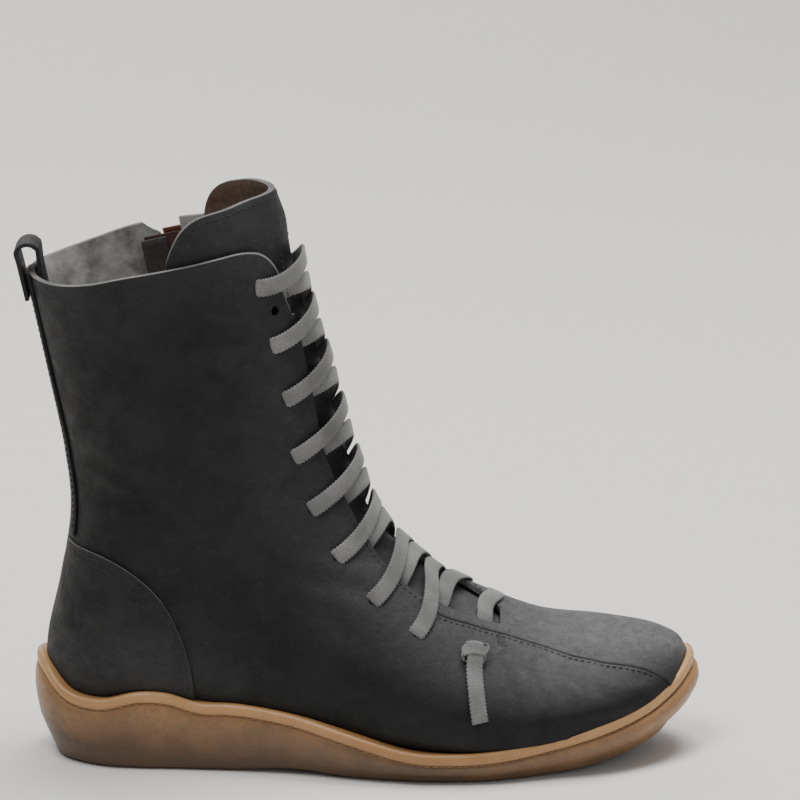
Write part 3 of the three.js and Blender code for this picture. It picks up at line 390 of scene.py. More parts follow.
def arc_ring(s, offset, count, fine=1440):
    """Evenly spaced points round the last's section at s, from the crown, with their turns."""
    turns = np.linspace(0, 2 * math.pi, fine + 1)
    points = last(s, turns, offset)
    gone = np.concatenate([[0], np.cumsum(np.linalg.norm(np.diff(points, axis=0), axis=1))])
    chosen = np.interp(np.linspace(0, gone[-1], count + 1)[:-1], gone, turns)
    return last(s, chosen, offset), chosen


def last_solid(name, offset, per_station, around, material):
    """The whole last grown by an offset, with a rounded tip on the toe."""
    stations = np.linspace(0, LAST_END, LAST_END * per_station + 1)
    rings = [arc_ring(s, offset, around)[0] for s in stations]
    tip = rings[0]
    middle = tip.mean(0)
    for turn in (0.4, 0.8, 1.15, 1.4):
        nose = middle + (tip - middle) * math.cos(turn) + np.array([2.4 * math.sin(turn), 0, 0])
        rings.insert(0, nose)
    return closed_grid(name, rings, [material])


def combine(piece, cutter, operation="DIFFERENCE", keep=False):
    """Cuts, joins or intersects two closed pieces; new walls take the cutter's material."""
    step = piece.modifiers.new("cut", "BOOLEAN")
    step.operation = operation
    step.object = cutter
    solvers = {kind.identifier for kind in step.bl_rna.properties["solver"].enum_items}
    step.solver = "MANIFOLD" if "MANIFOLD" in solvers else "EXACT"
    step.material_mode = "TRANSFER"
    bake(piece)
    if not keep:
        drop(cutter)
    return piece


def bake(piece):
    """Applies the piece's modifiers."""
    bpy.context.view_layer.update()
    done = bpy.data.meshes.new_from_object(piece.evaluated_get(bpy.context.evaluated_depsgraph_get()))
    piece.modifiers.clear()
    old = piece.data
    piece.data = done
    bpy.data.meshes.remove(old)
    done.name = piece.name


def drop(piece):
    mesh = piece.data
    bpy.data.objects.remove(piece)
    bpy.data.meshes.remove(mesh)


def side_prism(name, outline, material, width=2 * BALL_WIDTH, tilt=0.0):
    """A flat outline in the side view, carried right across the boot."""
    count = len(outline)
    points = [(x, y, z + tilt * y) for y in (-width / 2, width / 2) for x, z in outline]
    faces = [tuple(range(count)), tuple(range(2 * count - 1, count - 1, -1))]
    faces += [(i, (i + 1) % count, (i + 1) % count + count, i + count) for i in range(count)]
    piece = mesh_piece(name, points, faces, [material])
    outward(piece)
    return piece


def smooth(piece, angle=35.0):
    """Smooth shading, with edges sharper than the angle kept."""
    mesh = piece.data
    mesh.shade_smooth()
    work = bmesh.new()
    work.from_mesh(mesh)
    for edge in work.edges:
        sharp = len(edge.link_faces) == 2 and edge.calc_face_angle(0) > math.radians(angle)
        edge.smooth = not sharp
    work.to_mesh(mesh)
    work.free()
    return piece


def rides(piece, slot, *nodes, body="boot"):
    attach(piece, body)
    if nodes:
        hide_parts(*nodes)
    return piece


def smooth_line(points, count):
    """A smooth curve through points, as evenly spaced points."""
    points = np.asarray(points, float)
    rows = [points[np.clip(np.arange(len(points) - 1) + k, 0, len(points) - 1)] for k in (-1, 0, 1, 2)]
    fine = np.concatenate([through(*rows, t) for t in np.linspace(0, 1, 24, endpoint=False)[:, None, None]])
    order = np.arange(len(fine)).reshape(24, -1).T.ravel()
    fine = np.concatenate([fine[order], points[-1:]])
    gone = np.concatenate([[0], np.cumsum(np.linalg.norm(np.diff(fine, axis=0), axis=1))])
    even = np.linspace(0, gone[-1], count)
    return np.stack([np.interp(even, gone, fine[:, k]) for k in range(fine.shape[1])], -1)


class Shade:
    """A procedural material, built from a few kinds of node."""

    def __init__(self, name, colour=(0.5, 0.5, 0.5), roughness=0.6, **sockets):
        self.material = bpy.data.materials.new(name)
        self.material.use_nodes = True
        self.tree = self.material.node_tree
        self.shader = self.tree.nodes["Principled BSDF"]
        self.shader.inputs["Base Color"].default_value = (*colour, 1)
        self.shader.inputs["Roughness"].default_value = roughness
        for socket, value in sockets.items():
            self.shader.inputs[socket.replace("_", " ")].default_value = value
        self.place = self.add("ShaderNodeTexCoord").outputs["Object"]

    def add(self, kind, **settings):
        node = self.tree.nodes.new(kind)
        for key, value in settings.items():
            setattr(node, key, value)
        return node

    def feed(self, socket, value):
        if hasattr(value, "is_output"):
            self.tree.links.new(value, socket)
        elif isinstance(value, (tuple, list)) and len(value) == 3 and socket.type == "RGBA":
            socket.default_value = (*value, 1)
        else:
            socket.default_value = value

    def noise(self, scale, detail=3.0, rough=0.5, stretch=None, warp=0.0):
        node = self.add("ShaderNodeTexNoise")
        self.feed(node.inputs["Scale"], scale)
        self.feed(node.inputs["Detail"], detail)
        self.feed(node.inputs["Roughness"], rough)
        self.feed(node.inputs["Distortion"], warp)
        self.feed(node.inputs["Vector"], self.stretched(stretch))
        return node.outputs["Fac"]

    def cells(self, scale, feature="F1", stretch=None):
        node = self.add("ShaderNodeTexVoronoi", feature=feature)
        self.feed(node.inputs["Scale"], scale)
        self.feed(node.inputs["Vector"], self.stretched(stretch))
        return node.outputs["Distance"]

    def stretched(self, stretch):
        if stretch is None:
            return self.place
        node = self.add("ShaderNodeMapping")
        self.feed(node.inputs["Vector"], self.place)
        self.feed(node.inputs["Scale"], stretch)
        return node.outputs["Vector"]

    def attribute(self, name):
        return self.add("ShaderNodeAttribute", attribute_name=name).outputs["Fac"]

    def fit(self, value, low, high, to_low=0.0, to_high=1.0):
        node = self.add("ShaderNodeMapRange")
        for socket, number in zip(node.inputs, (value, low, high, to_low, to_high)):
            self.feed(socket, number)
        return node.outputs["Result"]

    def sums(self, operation, a, b=0.0):
        node = self.add("ShaderNodeMath", operation=operation)
        self.feed(node.inputs[0], a)
        self.feed(node.inputs[1], b)
        return node.outputs["Value"]

    def mix(self, share, a, b, blend="MIX"):
        node = self.add("ShaderNodeMix", data_type="RGBA", blend_type=blend)
        self.feed(node.inputs["Factor"], share)
        self.feed(node.inputs[6], a)
        self.feed(node.inputs[7], b)
        return node.outputs[2]

    def colour(self, value):
        self.feed(self.shader.inputs["Base Color"], value)

    def rough(self, value):
        self.feed(self.shader.inputs["Roughness"], value)

    def bump(self, *layers):
        """Layers are pairs of a height and its depth in millimetres."""
        before = None
        for height, depth in layers:
            node = self.add("ShaderNodeBump")
            node.inputs["Strength"].default_value = 1
            node.inputs["Distance"].default_value = depth * MM
            self.feed(node.inputs["Height"], height)
            if before is not None:
                self.feed(node.inputs["Normal"], before)
            before = node.outputs["Normal"]
        self.feed(self.shader.inputs["Normal"], before)


def nubuck(name, dark, light, rubbed_and_lit, depth=1.0):
    """Matt buffed leather: cloudy, scuffed, finely napped, and lighter where the stored mask of rubbed wear
    and painted highlight is high.
    """
    made = Shade(name, roughness=0.6, Specular_IOR_Level=0.22)
    cloud = made.noise(24, 4, 0.6, warp=0.8)
    patch = made.noise(95, 6, 0.72, warp=0.5)
    scuff = made.noise(210, 8, 0.8, (1, 1, 1.7), warp=1.2)
    nap = made.noise(2300, 3, 0.7)
    fleck = made.cells(900)
    fine = made.sums("ABSOLUTE", made.sums("SUBTRACT", made.noise(48, 3, 0.6, (0.7, 1, 1.8), warp=1.6), 0.5))
    line = made.fit(fine, 0.0, 0.022)
    base = made.mix(made.fit(cloud, 0.36, 0.66), dark, light)
    base = made.mix(made.fit(patch, 0.42, 0.68, 0, 0.75), base, light)
    base = made.mix(made.fit(scuff, 0.56, 0.74, 0, 0.1), base, rubbed_and_lit)
    # The stored mask lightens towards the rubbed colour: rubbed wear, and on the toe also a painted
    # highlight.
    rub_and_highlight = made.sums("MULTIPLY", made.attribute("rub_and_highlight"), made.fit(scuff, 0.3, 0.7, 0.45, 1.25))
    base = made.mix(made.fit(rub_and_highlight, 0, 1), base, rubbed_and_lit)
    base = made.mix(made.fit(nap, 0.4, 0.75, 0, 0.06), base, rubbed_and_lit)
    made.colour(made.mix(made.fit(fleck, 0.0, 0.25, 0.3, 0), base, dark))
    made.rough(made.fit(patch, 0.35, 0.65, 0.72, 0.5))
    swell = made.noise(60, 4, 0.55)
    layers = ((swell, 0.55), (patch, 0.3), (line, 0.045), (scuff, 0.12), (nap, 0.07))
    made.bump(*((height, share * depth) for height, share in layers))
    return made.material


def rubber(name, low, high, roughness):
    """Gum rubber with painted shade: darker towards the ground and towards the heel, lighter at the toe."""
    made = Shade(name, roughness=roughness, Specular_IOR_Level=0.5)
    cloud = made.noise(40, 4, 0.6)
    grime = made.noise(420, 6, 0.7)
    # The stored height sets the painted shade, from the shaded low colour to the lit high colour.
    up = made.sums("ADD", made.attribute("up"), made.fit(cloud, 0.3, 0.7, -0.16, 0.16))
    base = made.mix(made.fit(up, 0.12, 1.0), low, high)
    made.colour(made.mix(made.fit(grime, 0.5, 0.75, 0, 0.5), base, low))
    made.rough(made.fit(grime, 0.3, 0.7, roughness - 0.08, roughness + 0.14))
    made.bump((cloud, 0.25), (grime, 0.06))
    return made.material


def plain(name, dark, light, roughness, scale, depth, **sockets):
    """A cloudy finish with a fine grain."""
    made = Shade(name, roughness=roughness, **sockets)
    grain = made.noise(scale, 4, 0.6)
    broad = made.noise(scale / 12, 3, 0.6)
    made.colour(made.mix(made.fit(made.mix(0.5, grain, broad), 0.38, 0.64), dark, light))
    made.rough(made.fit(broad, 0.3, 0.7, roughness - 0.07, roughness + 0.07))
    made.bump((broad, 2 * depth), (grain, depth))
    return made.material


# Materials: dark and light of each, as linear colours
# The leather's third colour is the rubbed tone, which also paints the highlight on the toe.
LEATHER = nubuck("nubuck", (0.0025, 0.0025, 0.0027), (0.0085, 0.0085, 0.0088), (0.13, 0.131, 0.134))
COUNTER_LEATHER = nubuck(
    "nubuck_counter", (0.004, 0.004, 0.0042), (0.017, 0.017, 0.0174), (0.13, 0.131, 0.134), 1.3
)
RAW_EDGE = plain("raw_edge", (0.075, 0.073, 0.07), (0.17, 0.165, 0.16), 0.85, 900, 0.15)
DARK_EDGE = plain("dark_edge", (0.012, 0.012, 0.012), (0.03, 0.03, 0.03), 0.8, 900, 0.12)
# The lining's wide light-dark range is partly its own cloudy tone and partly painted highlights on its
# crumples.
LINING = plain("lining", (0.14, 0.137, 0.13), (0.5, 0.49, 0.47), 0.9, 130, 0.3, Sheen_Weight=0.2)
FACING = plain("facing", (0.03, 0.026, 0.024), (0.06, 0.053, 0.05), 0.6, 700, 0.1)
TONGUE_BACK = plain("tongue_back", (0.075, 0.045, 0.028), (0.16, 0.1, 0.066), 0.7, 500, 0.15)
# The bead is the same gum rubber in a lighter copy: a painted highlight on its top.
LIT_BEAD = rubber("rubber_bead_lit", (0.27, 0.135, 0.048), (0.48, 0.275, 0.118), 0.4)
# The groove is the same gum rubber in a darker copy: painted shade in the recess.
SHADED_GROOVE = plain("rubber_groove_shaded", (0.12, 0.06, 0.026), (0.2, 0.107, 0.05), 0.7, 500, 0.05)
# The sidewall's dark end is painted shade towards the ground; its light end is the lit rubber.
SIDEWALL_SHADED_LOW = rubber("rubber_side_shaded_low", (0.085, 0.047, 0.022), (0.37, 0.195, 0.082), 0.42)
TREAD = plain("rubber_tread", (0.09, 0.045, 0.02), (0.15, 0.08, 0.038), 0.75, 420, 0.1)
THREAD = plain("thread_dark", (0.004, 0.004, 0.004), (0.012, 0.012, 0.012), 0.6, 2400, 0.05)
RIM_THREAD = plain("thread_rim", (0.16, 0.085, 0.036), (0.3, 0.17, 0.08), 0.7, 2400, 0.05)
INSOLE = plain("insole", (0.24, 0.2, 0.15), (0.36, 0.3, 0.23), 0.8, 700, 0.1)
COIL = plain("zip_coil", (0.06, 0.025, 0.018), (0.13, 0.058, 0.043), 0.42, 900, 0.02)
TAPE = plain("zip_tape", (0.035, 0.016, 0.012), (0.075, 0.034, 0.026), 0.9, 1500, 0.1)
COPPER = plain("copper", (0.3, 0.13, 0.085), (0.44, 0.21, 0.145), 0.34, 500, 0.02, Metallic=1.0)

COLLAR = [(length_at(x), z * COLLAR_HEIGHT) for x, z in COLLAR_LINE]


def above_collar(name, material, drop=0.0):
    line = smooth_line([(x, z - drop) for x, z in COLLAR], 60).tolist()
    outline = [(-300, line[0][1]), *line, (300, line[-1][1]), (300, 450), (-300, 450)]
    return side_prism(name, outline, material, 2 * BALL_WIDTH, COLLAR_TILT)


def edge_places(steps):
    rows = np.array(SOLE_EDGE, float)
    t = (np.arange(steps) / steps)[:, None, None]
    fine = through(*(np.roll(rows, -k, 0) for k in (-1, 0, 1, 2)), t).transpose(1, 0, 2).reshape(-1, 4)
    x, y, rim, tuck = length_at(fine[:, 0]), fine[:, 1] * BALL_WIDTH, fine[:, 2] * RIM_HEIGHT, fine[:, 3]
    return x, y, rim, tuck * BALL_WIDTH, SOLE_BULGE * (tuck - SIDE_TUCK) * BALL_WIDTH


EDGE = edge_places(9)


def bottom_height(x, y):
    spring_x, toe_x = length_at(SPRING_START), length_at(0.97)
    spring = TOE_SPRING * np.maximum(0, (x - spring_x) / (toe_x - spring_x)) ** 2
    waist = np.sin(math.pi * np.clip((x - length_at(0.29)) / (SOLE_LENGTH * 0.2), 0, 1)) ** 2
    return spring + WAIST_ARCH * waist * (0.3 + 0.7 * np.clip(0.5 + y / (0.7 * BALL_WIDTH), 0, 1))


def edge_ring(inset, height):
    """The sole's edge moved inwards, at heights given for each point or as a function of x and y."""
    x, y, *_ = EDGE
    along = np.stack([np.roll(x, -1) - np.roll(x, 1), np.roll(y, -1) - np.roll(y, 1)])
    along /= np.linalg.norm(along, axis=0)
    moved_x, moved_y = x - along[1] * inset, y + along[0] * inset
    return np.stack([moved_x, moved_y, height(moved_x, moved_y) if callable(height) else height], -1)


def cap_faces(start, count, flip):
    faces = []
    half = count // 2
    for i in range(half):
        a, b = start + i, start + i + 1
        c, d = start + (count - i) % count, start + count - i - 1
        quad = (a, b, d) if i == 0 else (a, b, c) if b == d else (a, b, d, c)
        faces.append(quad if flip else tuple(reversed(quad)))
    return faces


def edge_solid(name, rings, materials=(), bands=None):
    count = len(rings[0])
    faces = grid_faces(len(rings), count, True)
    indices = [bands[i // count] if bands else 0 for i in range(len(faces))]
    low, top = cap_faces(0, count, False), cap_faces((len(rings) - 1) * count, count, True)
    indices += [bands[0] if bands else 0] * len(low) + [bands[-1] if bands else 0] * len(top)
    piece = mesh_piece(name, np.concatenate(rings), faces + low + top, materials, indices)
    outward(piece)
    return piece


def seat_of(x):
    stations = np.linspace(0, COLLAR_STATION, 401)
    seats = section_at(stations)
    order = np.argsort(seats[0])
    return np.interp(x, seats[0][order], seats[1][order])


def seat_plug(name, inset, offsets, material):
    def ring(offset):
        placed = edge_ring(RIM_LEDGE + LASTING_MARGIN + inset, 0 * EDGE[0])
        placed[:, 2] = seat_of(np.maximum(EDGE[0], length_at(0.14))) + offset
        return placed

    return edge_solid(name, [ring(offsets[0]), ring(offsets[1])], [material])


def counter_outline(grow):
    low, drop = SEAT_HEIGHT * 0.9 - grow, COUNTER_HEIGHT - SEAT_HEIGHT * 0.9 + grow
    turns = np.linspace(0, math.pi / 2, 40)
    across = -HEEL_BACK + COUNTER_LENGTH * (0.3 + 0.7 * np.sin(turns)) + grow
    up = low + drop * (0.02 + 0.98 * np.abs(np.cos(turns)) ** 0.85) + grow
    arc = list(zip(across, up))
    return [(-2 * HEEL_BACK, low), (-2 * HEEL_BACK, COUNTER_HEIGHT + grow), *arc, (arc[-1][0], low)]


def band(name, start, end, steps, turn_a, turn_b, columns, inner, outer, material):
    """A slab of the last's surface between two turns and two offsets."""
    stations = np.linspace(start, end, steps + 1)
    turns = np.array([np.linspace(turn_a(s), turn_b(s), columns + 1) for s in stations])
    grid = stations[:, None] + 0 * turns
    return slab(name, last(grid, turns, outer), last(grid, turns, inner), [material])


def eyelet_of(row, side):
    s = station_down(row[0])
    return s, behind_edge(s, side, row[1])


LATERAL_HOLES = [eyelet_of(row, -1) for row in LATERAL_EYELETS]
MEDIAL_HOLES = [eyelet_of(row, 1) for row in MEDIAL_EYELETS]
SPARE_HOLE, LOWER_KNOT_HOLE = eyelet_of(SPARE_EYELET, -1), eyelet_of(LOWER_KNOT_EYELET, -1)
UPPER_KNOT_HOLE, FIRST_HOLE = eyelet_of(UPPER_KNOT_EYELET, 1), eyelet_of(FIRST_EYELET, 1)
HOLES = [*LATERAL_HOLES, *MEDIAL_HOLES, SPARE_HOLE, LOWER_KNOT_HOLE, UPPER_KNOT_HOLE, FIRST_HOLE]


def punch(hole):
    """A cutter for a punched hole."""
    point, normal, down, around = surface_frame(*hole)
    turns = np.linspace(0, 2 * math.pi, 25)[:-1]
    circle = EYELET_DIAMETER / 2 * (np.cos(turns)[:, None] * down + np.sin(turns)[:, None] * around)
    return closed_grid("punch", [point + circle - 6 * normal, point + circle + 6 * normal], [DARK_EDGE])


def surface_places(points):
    """The station and turn of the last nearest to each point, and how far out of the last it lies."""
    stations = np.linspace(0, LAST_END, LAST_END * 10 + 1)
    rings = [arc_ring(s, 0, 240) for s in stations]
    places = np.array([(s, turn) for s, (_, turns) in zip(stations, rings) for turn in turns])
    grid = np.concatenate([ring for ring, _ in rings])
    tree = KDTree(len(grid))
    for i, point in enumerate(grid):
        tree.insert(point, i)
    tree.balance()
    found = [tree.find(point) for point in points]
    return places[[row[1] for row in found]], np.array([row[2] for row in found])


# Creases of the outer side: ends in the side view, depth and half width. Each has a low fold on both flanks.
CREASES = [
    ((160, 44), (181, 21), 0.9, 2.4),
    ((150, 47), (166, 24), 0.8, 2.8),
    ((176, 42), (205, 31), 0.6, 2.4),
    ((188, 44), (212, 36), 0.45, 2.2),
    ((70, 98), (104, 84), 0.5, 3.4),
    ((60, 86), (98, 72), 0.55, 3.6),
    ((58, 74), (92, 58), 0.4, 3.4),
    ((-20, 118), (28, 106), 0.5, 3.6),
    ((-22, 130), (20, 121), 0.4, 3.4),
    ((-26, 82), (10, 62), 0.6, 2.6),
    ((-14, 72), (16, 52), 0.6, 2.4),
    ((-24, 66), (4, 47), 0.55, 2.6),
    ((-6, 80), (18, 60), 0.5, 2.2),
]


def folds(points, creases=CREASES):
    """How far the leather stands out of its smooth form, for soft folds and creases, millimetres."""
    x, y, z = points[:, 0], points[:, 1], points[:, 2]
    side = np.where(y < 0, 1.0, 0.85)
    out = np.zeros(len(points))
    for k, ((ax, az), (bx, bz), depth, half) in enumerate(creases):
        dx, dz = bx - ax, bz - az
        length = math.hypot(dx, dz)
        ux, uz = dx / length, dz / length
        shift = np.where(y < 0, 0.0, 5.0 * math.sin(3.1 * k))
        along = ((x - ax) * ux + (z - az - shift) * uz) / length
        off = (x - ax) * uz - (z - az - shift) * ux + 2.2 * np.sin(4 * along + k) * side
        fade = np.exp(-((np.abs(along - 0.5) * 1.9) ** 4))
        narrow = off / half
        out += depth * fade * side * (0.55 * np.exp(-((np.abs(narrow) - 1.7) ** 2)) - np.exp(-(narrow**2)))
    return out


FLARE_AT, FLARE_WAY = surface_frame(COLLAR_STATION + 0.05, throat_edge(COLLAR_STATION, 1))[:2]


def flare(points):
    """The inner quarter's front corner stands a little proud of the tongue."""
    away = np.linalg.norm((points - FLARE_AT) / (18, 14, 22), axis=1)
    return 3.0 * np.exp(-(away**2))[:, None] * FLARE_WAY


def rub_and_highlight_of(points, places):
    """How rubbed the leather is, with a painted highlight folded in: on the toe, where it also paints the
    light on the toe's top, along the throat, at the collar and low on the heel.
    """
    x, y, z = points[:, 0], points[:, 1], points[:, 2]
    s, turn = places[:, 0], np.abs(np.where(places[:, 1] > math.pi, places[:, 1] - 2 * math.pi, places[:, 1]))
    # The toe's share is rubbed wear and painted highlight together.
    toe = np.clip(1.7 - s / 6, 0, 1) * np.clip(1.45 - turn, 0, 1)
    edge = np.exp(-(((turn - 0.75) / 0.35) ** 2)) * np.clip((s - 6) / 3, 0, 1)
    collar = np.clip(1 - (COLLAR_STATION - s) / 1.2, 0, 1)
    low = np.clip(1 - (z - 45) / 30, 0, 1) * np.clip((60 - x) / 40, 0, 1)
    return np.clip(0.9 * toe + 0.12 * edge + 0.08 * collar + 0.12 * low, 0, 1)


def dress(piece, amount=1.0, skins=(0,)):
    """Adds folds, and a mask of rubbed wear with a painted highlight on the toe, to a leather piece. skins is
    not used: every point moves.
    """
    mesh = piece.data
    count = len(mesh.vertices)
    points = np.empty(count * 3)
    mesh.vertices.foreach_get("co", points)
    points = points.reshape(-1, 3) / MM
    normals = np.empty(count * 3)
    mesh.vertices.foreach_get("normal", normals)
    places, _ = surface_places(points)
    moved = points + (folds(points)[:, None] * normals.reshape(-1, 3) + flare(points)) * amount
    mesh.vertices.foreach_set("co", (moved * MM).ravel())
    # Stores the mask of rubbed wear and painted highlight for the leather material.
    rub_and_highlight = mesh.attributes.new("rub_and_highlight", "FLOAT", "POINT")
    rub_and_highlight.data.foreach_set("value", rub_and_highlight_of(points, places).astype(np.float32))
    mesh.update()
    return places


def slit_corner(s):
    """How far the slit's rear edge turns away at the collar."""
    over = last(s, zip_turn(s))[2] - (np.interp(ZIP_TOP_X, *np.array(COLLAR).T) - 8)
    return 8 * (1 - math.sqrt(1 - min(max(over / 8, 0), 1) ** 2))


def make_upper():
    piece = last_solid("upper_leather", 0, 10, 230, LEATHER)
    inner = last_solid("inner", -WALL, 5, 140, LINING)
    combine(piece, inner)
    combine(piece, above_collar("collar_cut", RAW_EDGE))
    combine(piece, seat_plug("margin_cut", 0, (-10, WALL + 1.5), LINING))
    foot = station_down(THROAT_LENGTH - 7)
    combine(
        piece,
        band(
            "throat_cut", foot, LAST_END, 90,
            lambda s: throat_edge(min(s, COLLAR_STATION), -1),
            lambda s: throat_edge(min(s, COLLAR_STATION), 1),
            8, -8, 8, RAW_EDGE,
        ),
    )
    combine(
        piece,
        band(
            "zip_cut", zip_station(ZIP_FOOT_Z), LAST_END, 60,
            lambda s: zip_turn(s, ZIP_SLIT / 2),
            lambda s: zip_turn(s, -ZIP_SLIT / 2 - slit_corner(s)),
            2, -8, 8, DARK_EDGE,
        ),
    )
    for hole in HOLES:
        combine(piece, punch(hole))
    dress(piece)
    return rides(smooth(piece), "nubuck", "upper")


def make_counter():
    piece = last_solid("counter_leather", CLEARANCE + OVERLAY, 8, 200, COUNTER_LEATHER)
    combine(piece, last_solid("inner", CLEARANCE - 0.2, 5, 140, DARK_EDGE))
    combine(piece, side_prism("outline", counter_outline(0), RAW_EDGE), "INTERSECT")
    dress(piece)
    return rides(smooth(piece), "nubuck", "counter")
TREAD_PITCH, TREAD_DEPTH = 7.0, 1.6




def make_sole():
    """The cup sole: tread, sidewall, stitched groove and rounded rim bead."""
    x, y, rim, tuck, bulge = EDGE
    low = rim - BEAD_DROP - 0.45 * GROOVE_HEIGHT

    def side(share):
        return lambda px, py: bottom_height(px, py) + BOTTOM_EDGE + share * (
            low - bottom_height(px, py) - BOTTOM_EDGE
        )

    profile = [
        (tuck + 6, bottom_height, 0),
        (tuck + 2.5, lambda px, py: bottom_height(px, py) + 0.25, 0),
        (tuck + 1, lambda px, py: bottom_height(px, py) + 1.0, 1),
        (tuck + 0.25, lambda px, py: bottom_height(px, py) + 1.9, 1),
        (tuck, side(0), 1),
        (0.6 * tuck - 0.45 * bulge, side(0.2), 1),
        (0.25 * tuck - 0.8 * bulge, side(0.4), 1),
        (0.08 * tuck - bulge, side(0.6), 1),
        (-bulge, side(0.75), 1),
        (0.1 - 0.8 * bulge, side(0.9), 1),
        (0.45 - 0.5 * bulge, side(0.975), 1),
        (0.75, side(1), 2),
        (0.95, rim - BEAD_DROP - 0.2 * GROOVE_HEIGHT, 2),
        (0.75, rim - BEAD_DROP * 0.98, 3),
        (0.45, rim - BEAD_DROP * 0.93, 3),
        (0.12, rim - BEAD_DROP * 0.8, 3),
        (0.0, rim - BEAD_DROP * 0.6, 3),
        (0.1, rim - BEAD_DROP * 0.38, 3),
        (0.45, rim - BEAD_DROP * 0.19, 3),
        (1.0, rim - BEAD_DROP * 0.06, 3),
        (RIM_LEDGE * 0.55, rim, 3),
        (RIM_LEDGE * 0.8, rim - 0.05, 3),
        (RIM_LEDGE, rim - 0.3, 3),
        (RIM_LEDGE + 8, rim - 0.4, 3),
    ]
    # Under the arch the leather leans out, so the top of the sidewall and the bead do too
    arch = np.where(y > 0, 2.0 * np.exp(-(((x - length_at(0.403)) / 17) ** 2)), 0)
    rings = []
    for k, (inset, height, _) in enumerate(profile):
        leaning = (k >= 10) * np.less(inset, RIM_LEDGE)
        rings.append(edge_ring(inset - arch * leaning, height))
    bands = [row[2] for row in profile]
    # Bands: tread, sidewall with painted shade low down, groove in painted shade, and bead with a painted
    # highlight.
    piece = edge_solid("cup_sole", rings, [TREAD, SIDEWALL_SHADED_LOW, SHADED_GROOVE, LIT_BEAD], bands)
    combine(piece, last_solid("inner", CLEARANCE - 0.25, 5, 160, DARK_EDGE))
    combine(piece, tread_bars())
    # Stores the height that sets the sole's painted shade.
    mark(piece, "up", shade_height_on_sole)
    rides(smooth(piece, 50), "gum_rubber", "sole")
    groove = edge_ring(0.7 - arch, rim - BEAD_DROP - 0.2 * GROOVE_HEIGHT)
    groove = np.concatenate([groove, groove[:1]])
    outwards = edge_ring(0, rim) - edge_ring(1, rim)
    outwards = np.concatenate([outwards, outwards[:1]])
    row = thread_run("rim_stitches", groove, outwards, RIM_THREAD, 3.2, 2.5, 0.3)
    rides(row, "gum_rubber")


def shade_height_on_sole(points):
    """How far up the rubber a point counts for its painted shade, which darkens it low down. The toe counts
    as higher, so it is lighter.
    """
    forward = np.clip(points[:, 0] / length_at(1) - 0.25, 0, 1)
    return points[:, 2] / RIM_HEIGHT + 0.45 * forward - 0.08


def tread_bars():
    """Wavy cuts across the underside, kept inside its edge."""
    _, _, _, tuck, _ = EDGE
    border = edge_ring(tuck + 7, 0 * tuck)
    points, faces = [], []
    for at in np.arange(length_at(0.035), length_at(0.97), TREAD_PITCH):
        near = border[np.abs(border[:, 0] - at) < 6]
        if abs(at - length_at(0.385)) < 16 or len(near) < 2 or np.ptp(near[:, 1]) < 18:
            continue
        y = np.linspace(near[:, 1].min() + 3, near[:, 1].max() - 3, 40)
        x = at + 1.8 * np.sin(y * 2 * math.pi / 17)
        floor = bottom_height(x, y)
        rings = [
            np.stack([x + side * 1.4, y, floor + high], -1)
            for side, high in ((-1, -4), (1, -4), (0.7, TREAD_DEPTH), (-0.7, TREAD_DEPTH))
        ]
        start = len(points)
        points.extend(np.stack(rings, 1).reshape(-1, 3))
        faces += grid_faces(len(y), 4, True, start)
        faces += [(start + 3, start + 2, start + 1, start), tuple(range(len(points) - 4, len(points)))]
    bars = mesh_piece("tread_bars", points, faces, [TREAD])
    outward(bars)
    return bars


def mark(piece, name, measure):
    """Stores a measure of each point for the materials."""
    mesh = piece.data
    points = np.empty(len(mesh.vertices) * 3)
    mesh.vertices.foreach_get("co", points)
    values = mesh.attributes.new(name, "FLOAT", "POINT")
    values.data.foreach_set("value", measure(points.reshape(-1, 3) / MM).astype(np.float32))


def make_insole():
    piece = last_solid("insole_board", -(WALL + CLEARANCE), 4, 120, INSOLE)
    above = WALL + CLEARANCE + INSOLE_THICKNESS
    top = seat_plug("top", -LASTING_MARGIN - RIM_LEDGE - 2, (-10, above), INSOLE)
    combine(piece, top, "INTERSECT")
    plug = seat_plug("plug", CLEARANCE, (-10, WALL + 1), INSOLE)
    combine(plug, last_solid("form", -0.05, 4, 120, INSOLE), "INTERSECT")
    combine(piece, plug, "UNION")
    return rides(smooth(piece), "lining", "insole")


def make_stage():
    """A pale seamless floor and wall, soft lights and the room's faint light."""
    rows = []
    for turn in np.linspace(0, math.pi / 2, 14):
        rows.append((900 * math.sin(turn) + 1500, 900 - 900 * math.cos(turn)))
    line = [(-6000, -0.05), *rows, (2400, 5000)]
    points = [(x, y, z if z > 0 else -0.05) for y, z in line for x in (-5000, 5000)]
    paper = Shade("paper", (0.8, 0.79, 0.77), 0.9).material
    floor = mesh_piece("floor", points, grid_faces(len(line), 2), [paper])
    floor.data.shade_smooth()
    for name, place, size, power, colour in LIGHTS:
        data = bpy.data.lights.new(name, "AREA")
        data.shape, data.size, data.energy, data.color = "DISK", size, power, colour
        lamp = bpy.data.objects.new(name, data)
        lamp.location = place
        aim = Vector((0.09, 0, 0.1)) - lamp.location
        lamp.rotation_euler = aim.to_track_quat("-Z", "Y").to_euler()
        bpy.context.scene.collection.objects.link(lamp)
    world = bpy.data.worlds.new("room")
    world.use_nodes = True
    world.node_tree.nodes["Background"].inputs["Color"].default_value = (0.95, 0.97, 1, 1)
    world.node_tree.nodes["Background"].inputs["Strength"].default_value = 0.26
    bpy.context.scene.world = world


LIGHTS = [
    ("key", (-0.6, -0.75, 2.3), 1.1, 40, (1, 0.98, 0.95)),
    ("fill", (1.7, -1.6, 1.0), 1.4, 6, (0.95, 0.97, 1)),
    ("top", (0.45, 0.35, 2.2), 1.1, 42, (1, 1, 1)),
    ("rear", (-0.6, 1.9, 1.2), 1.2, 10, (1, 0.98, 0.96)),
]


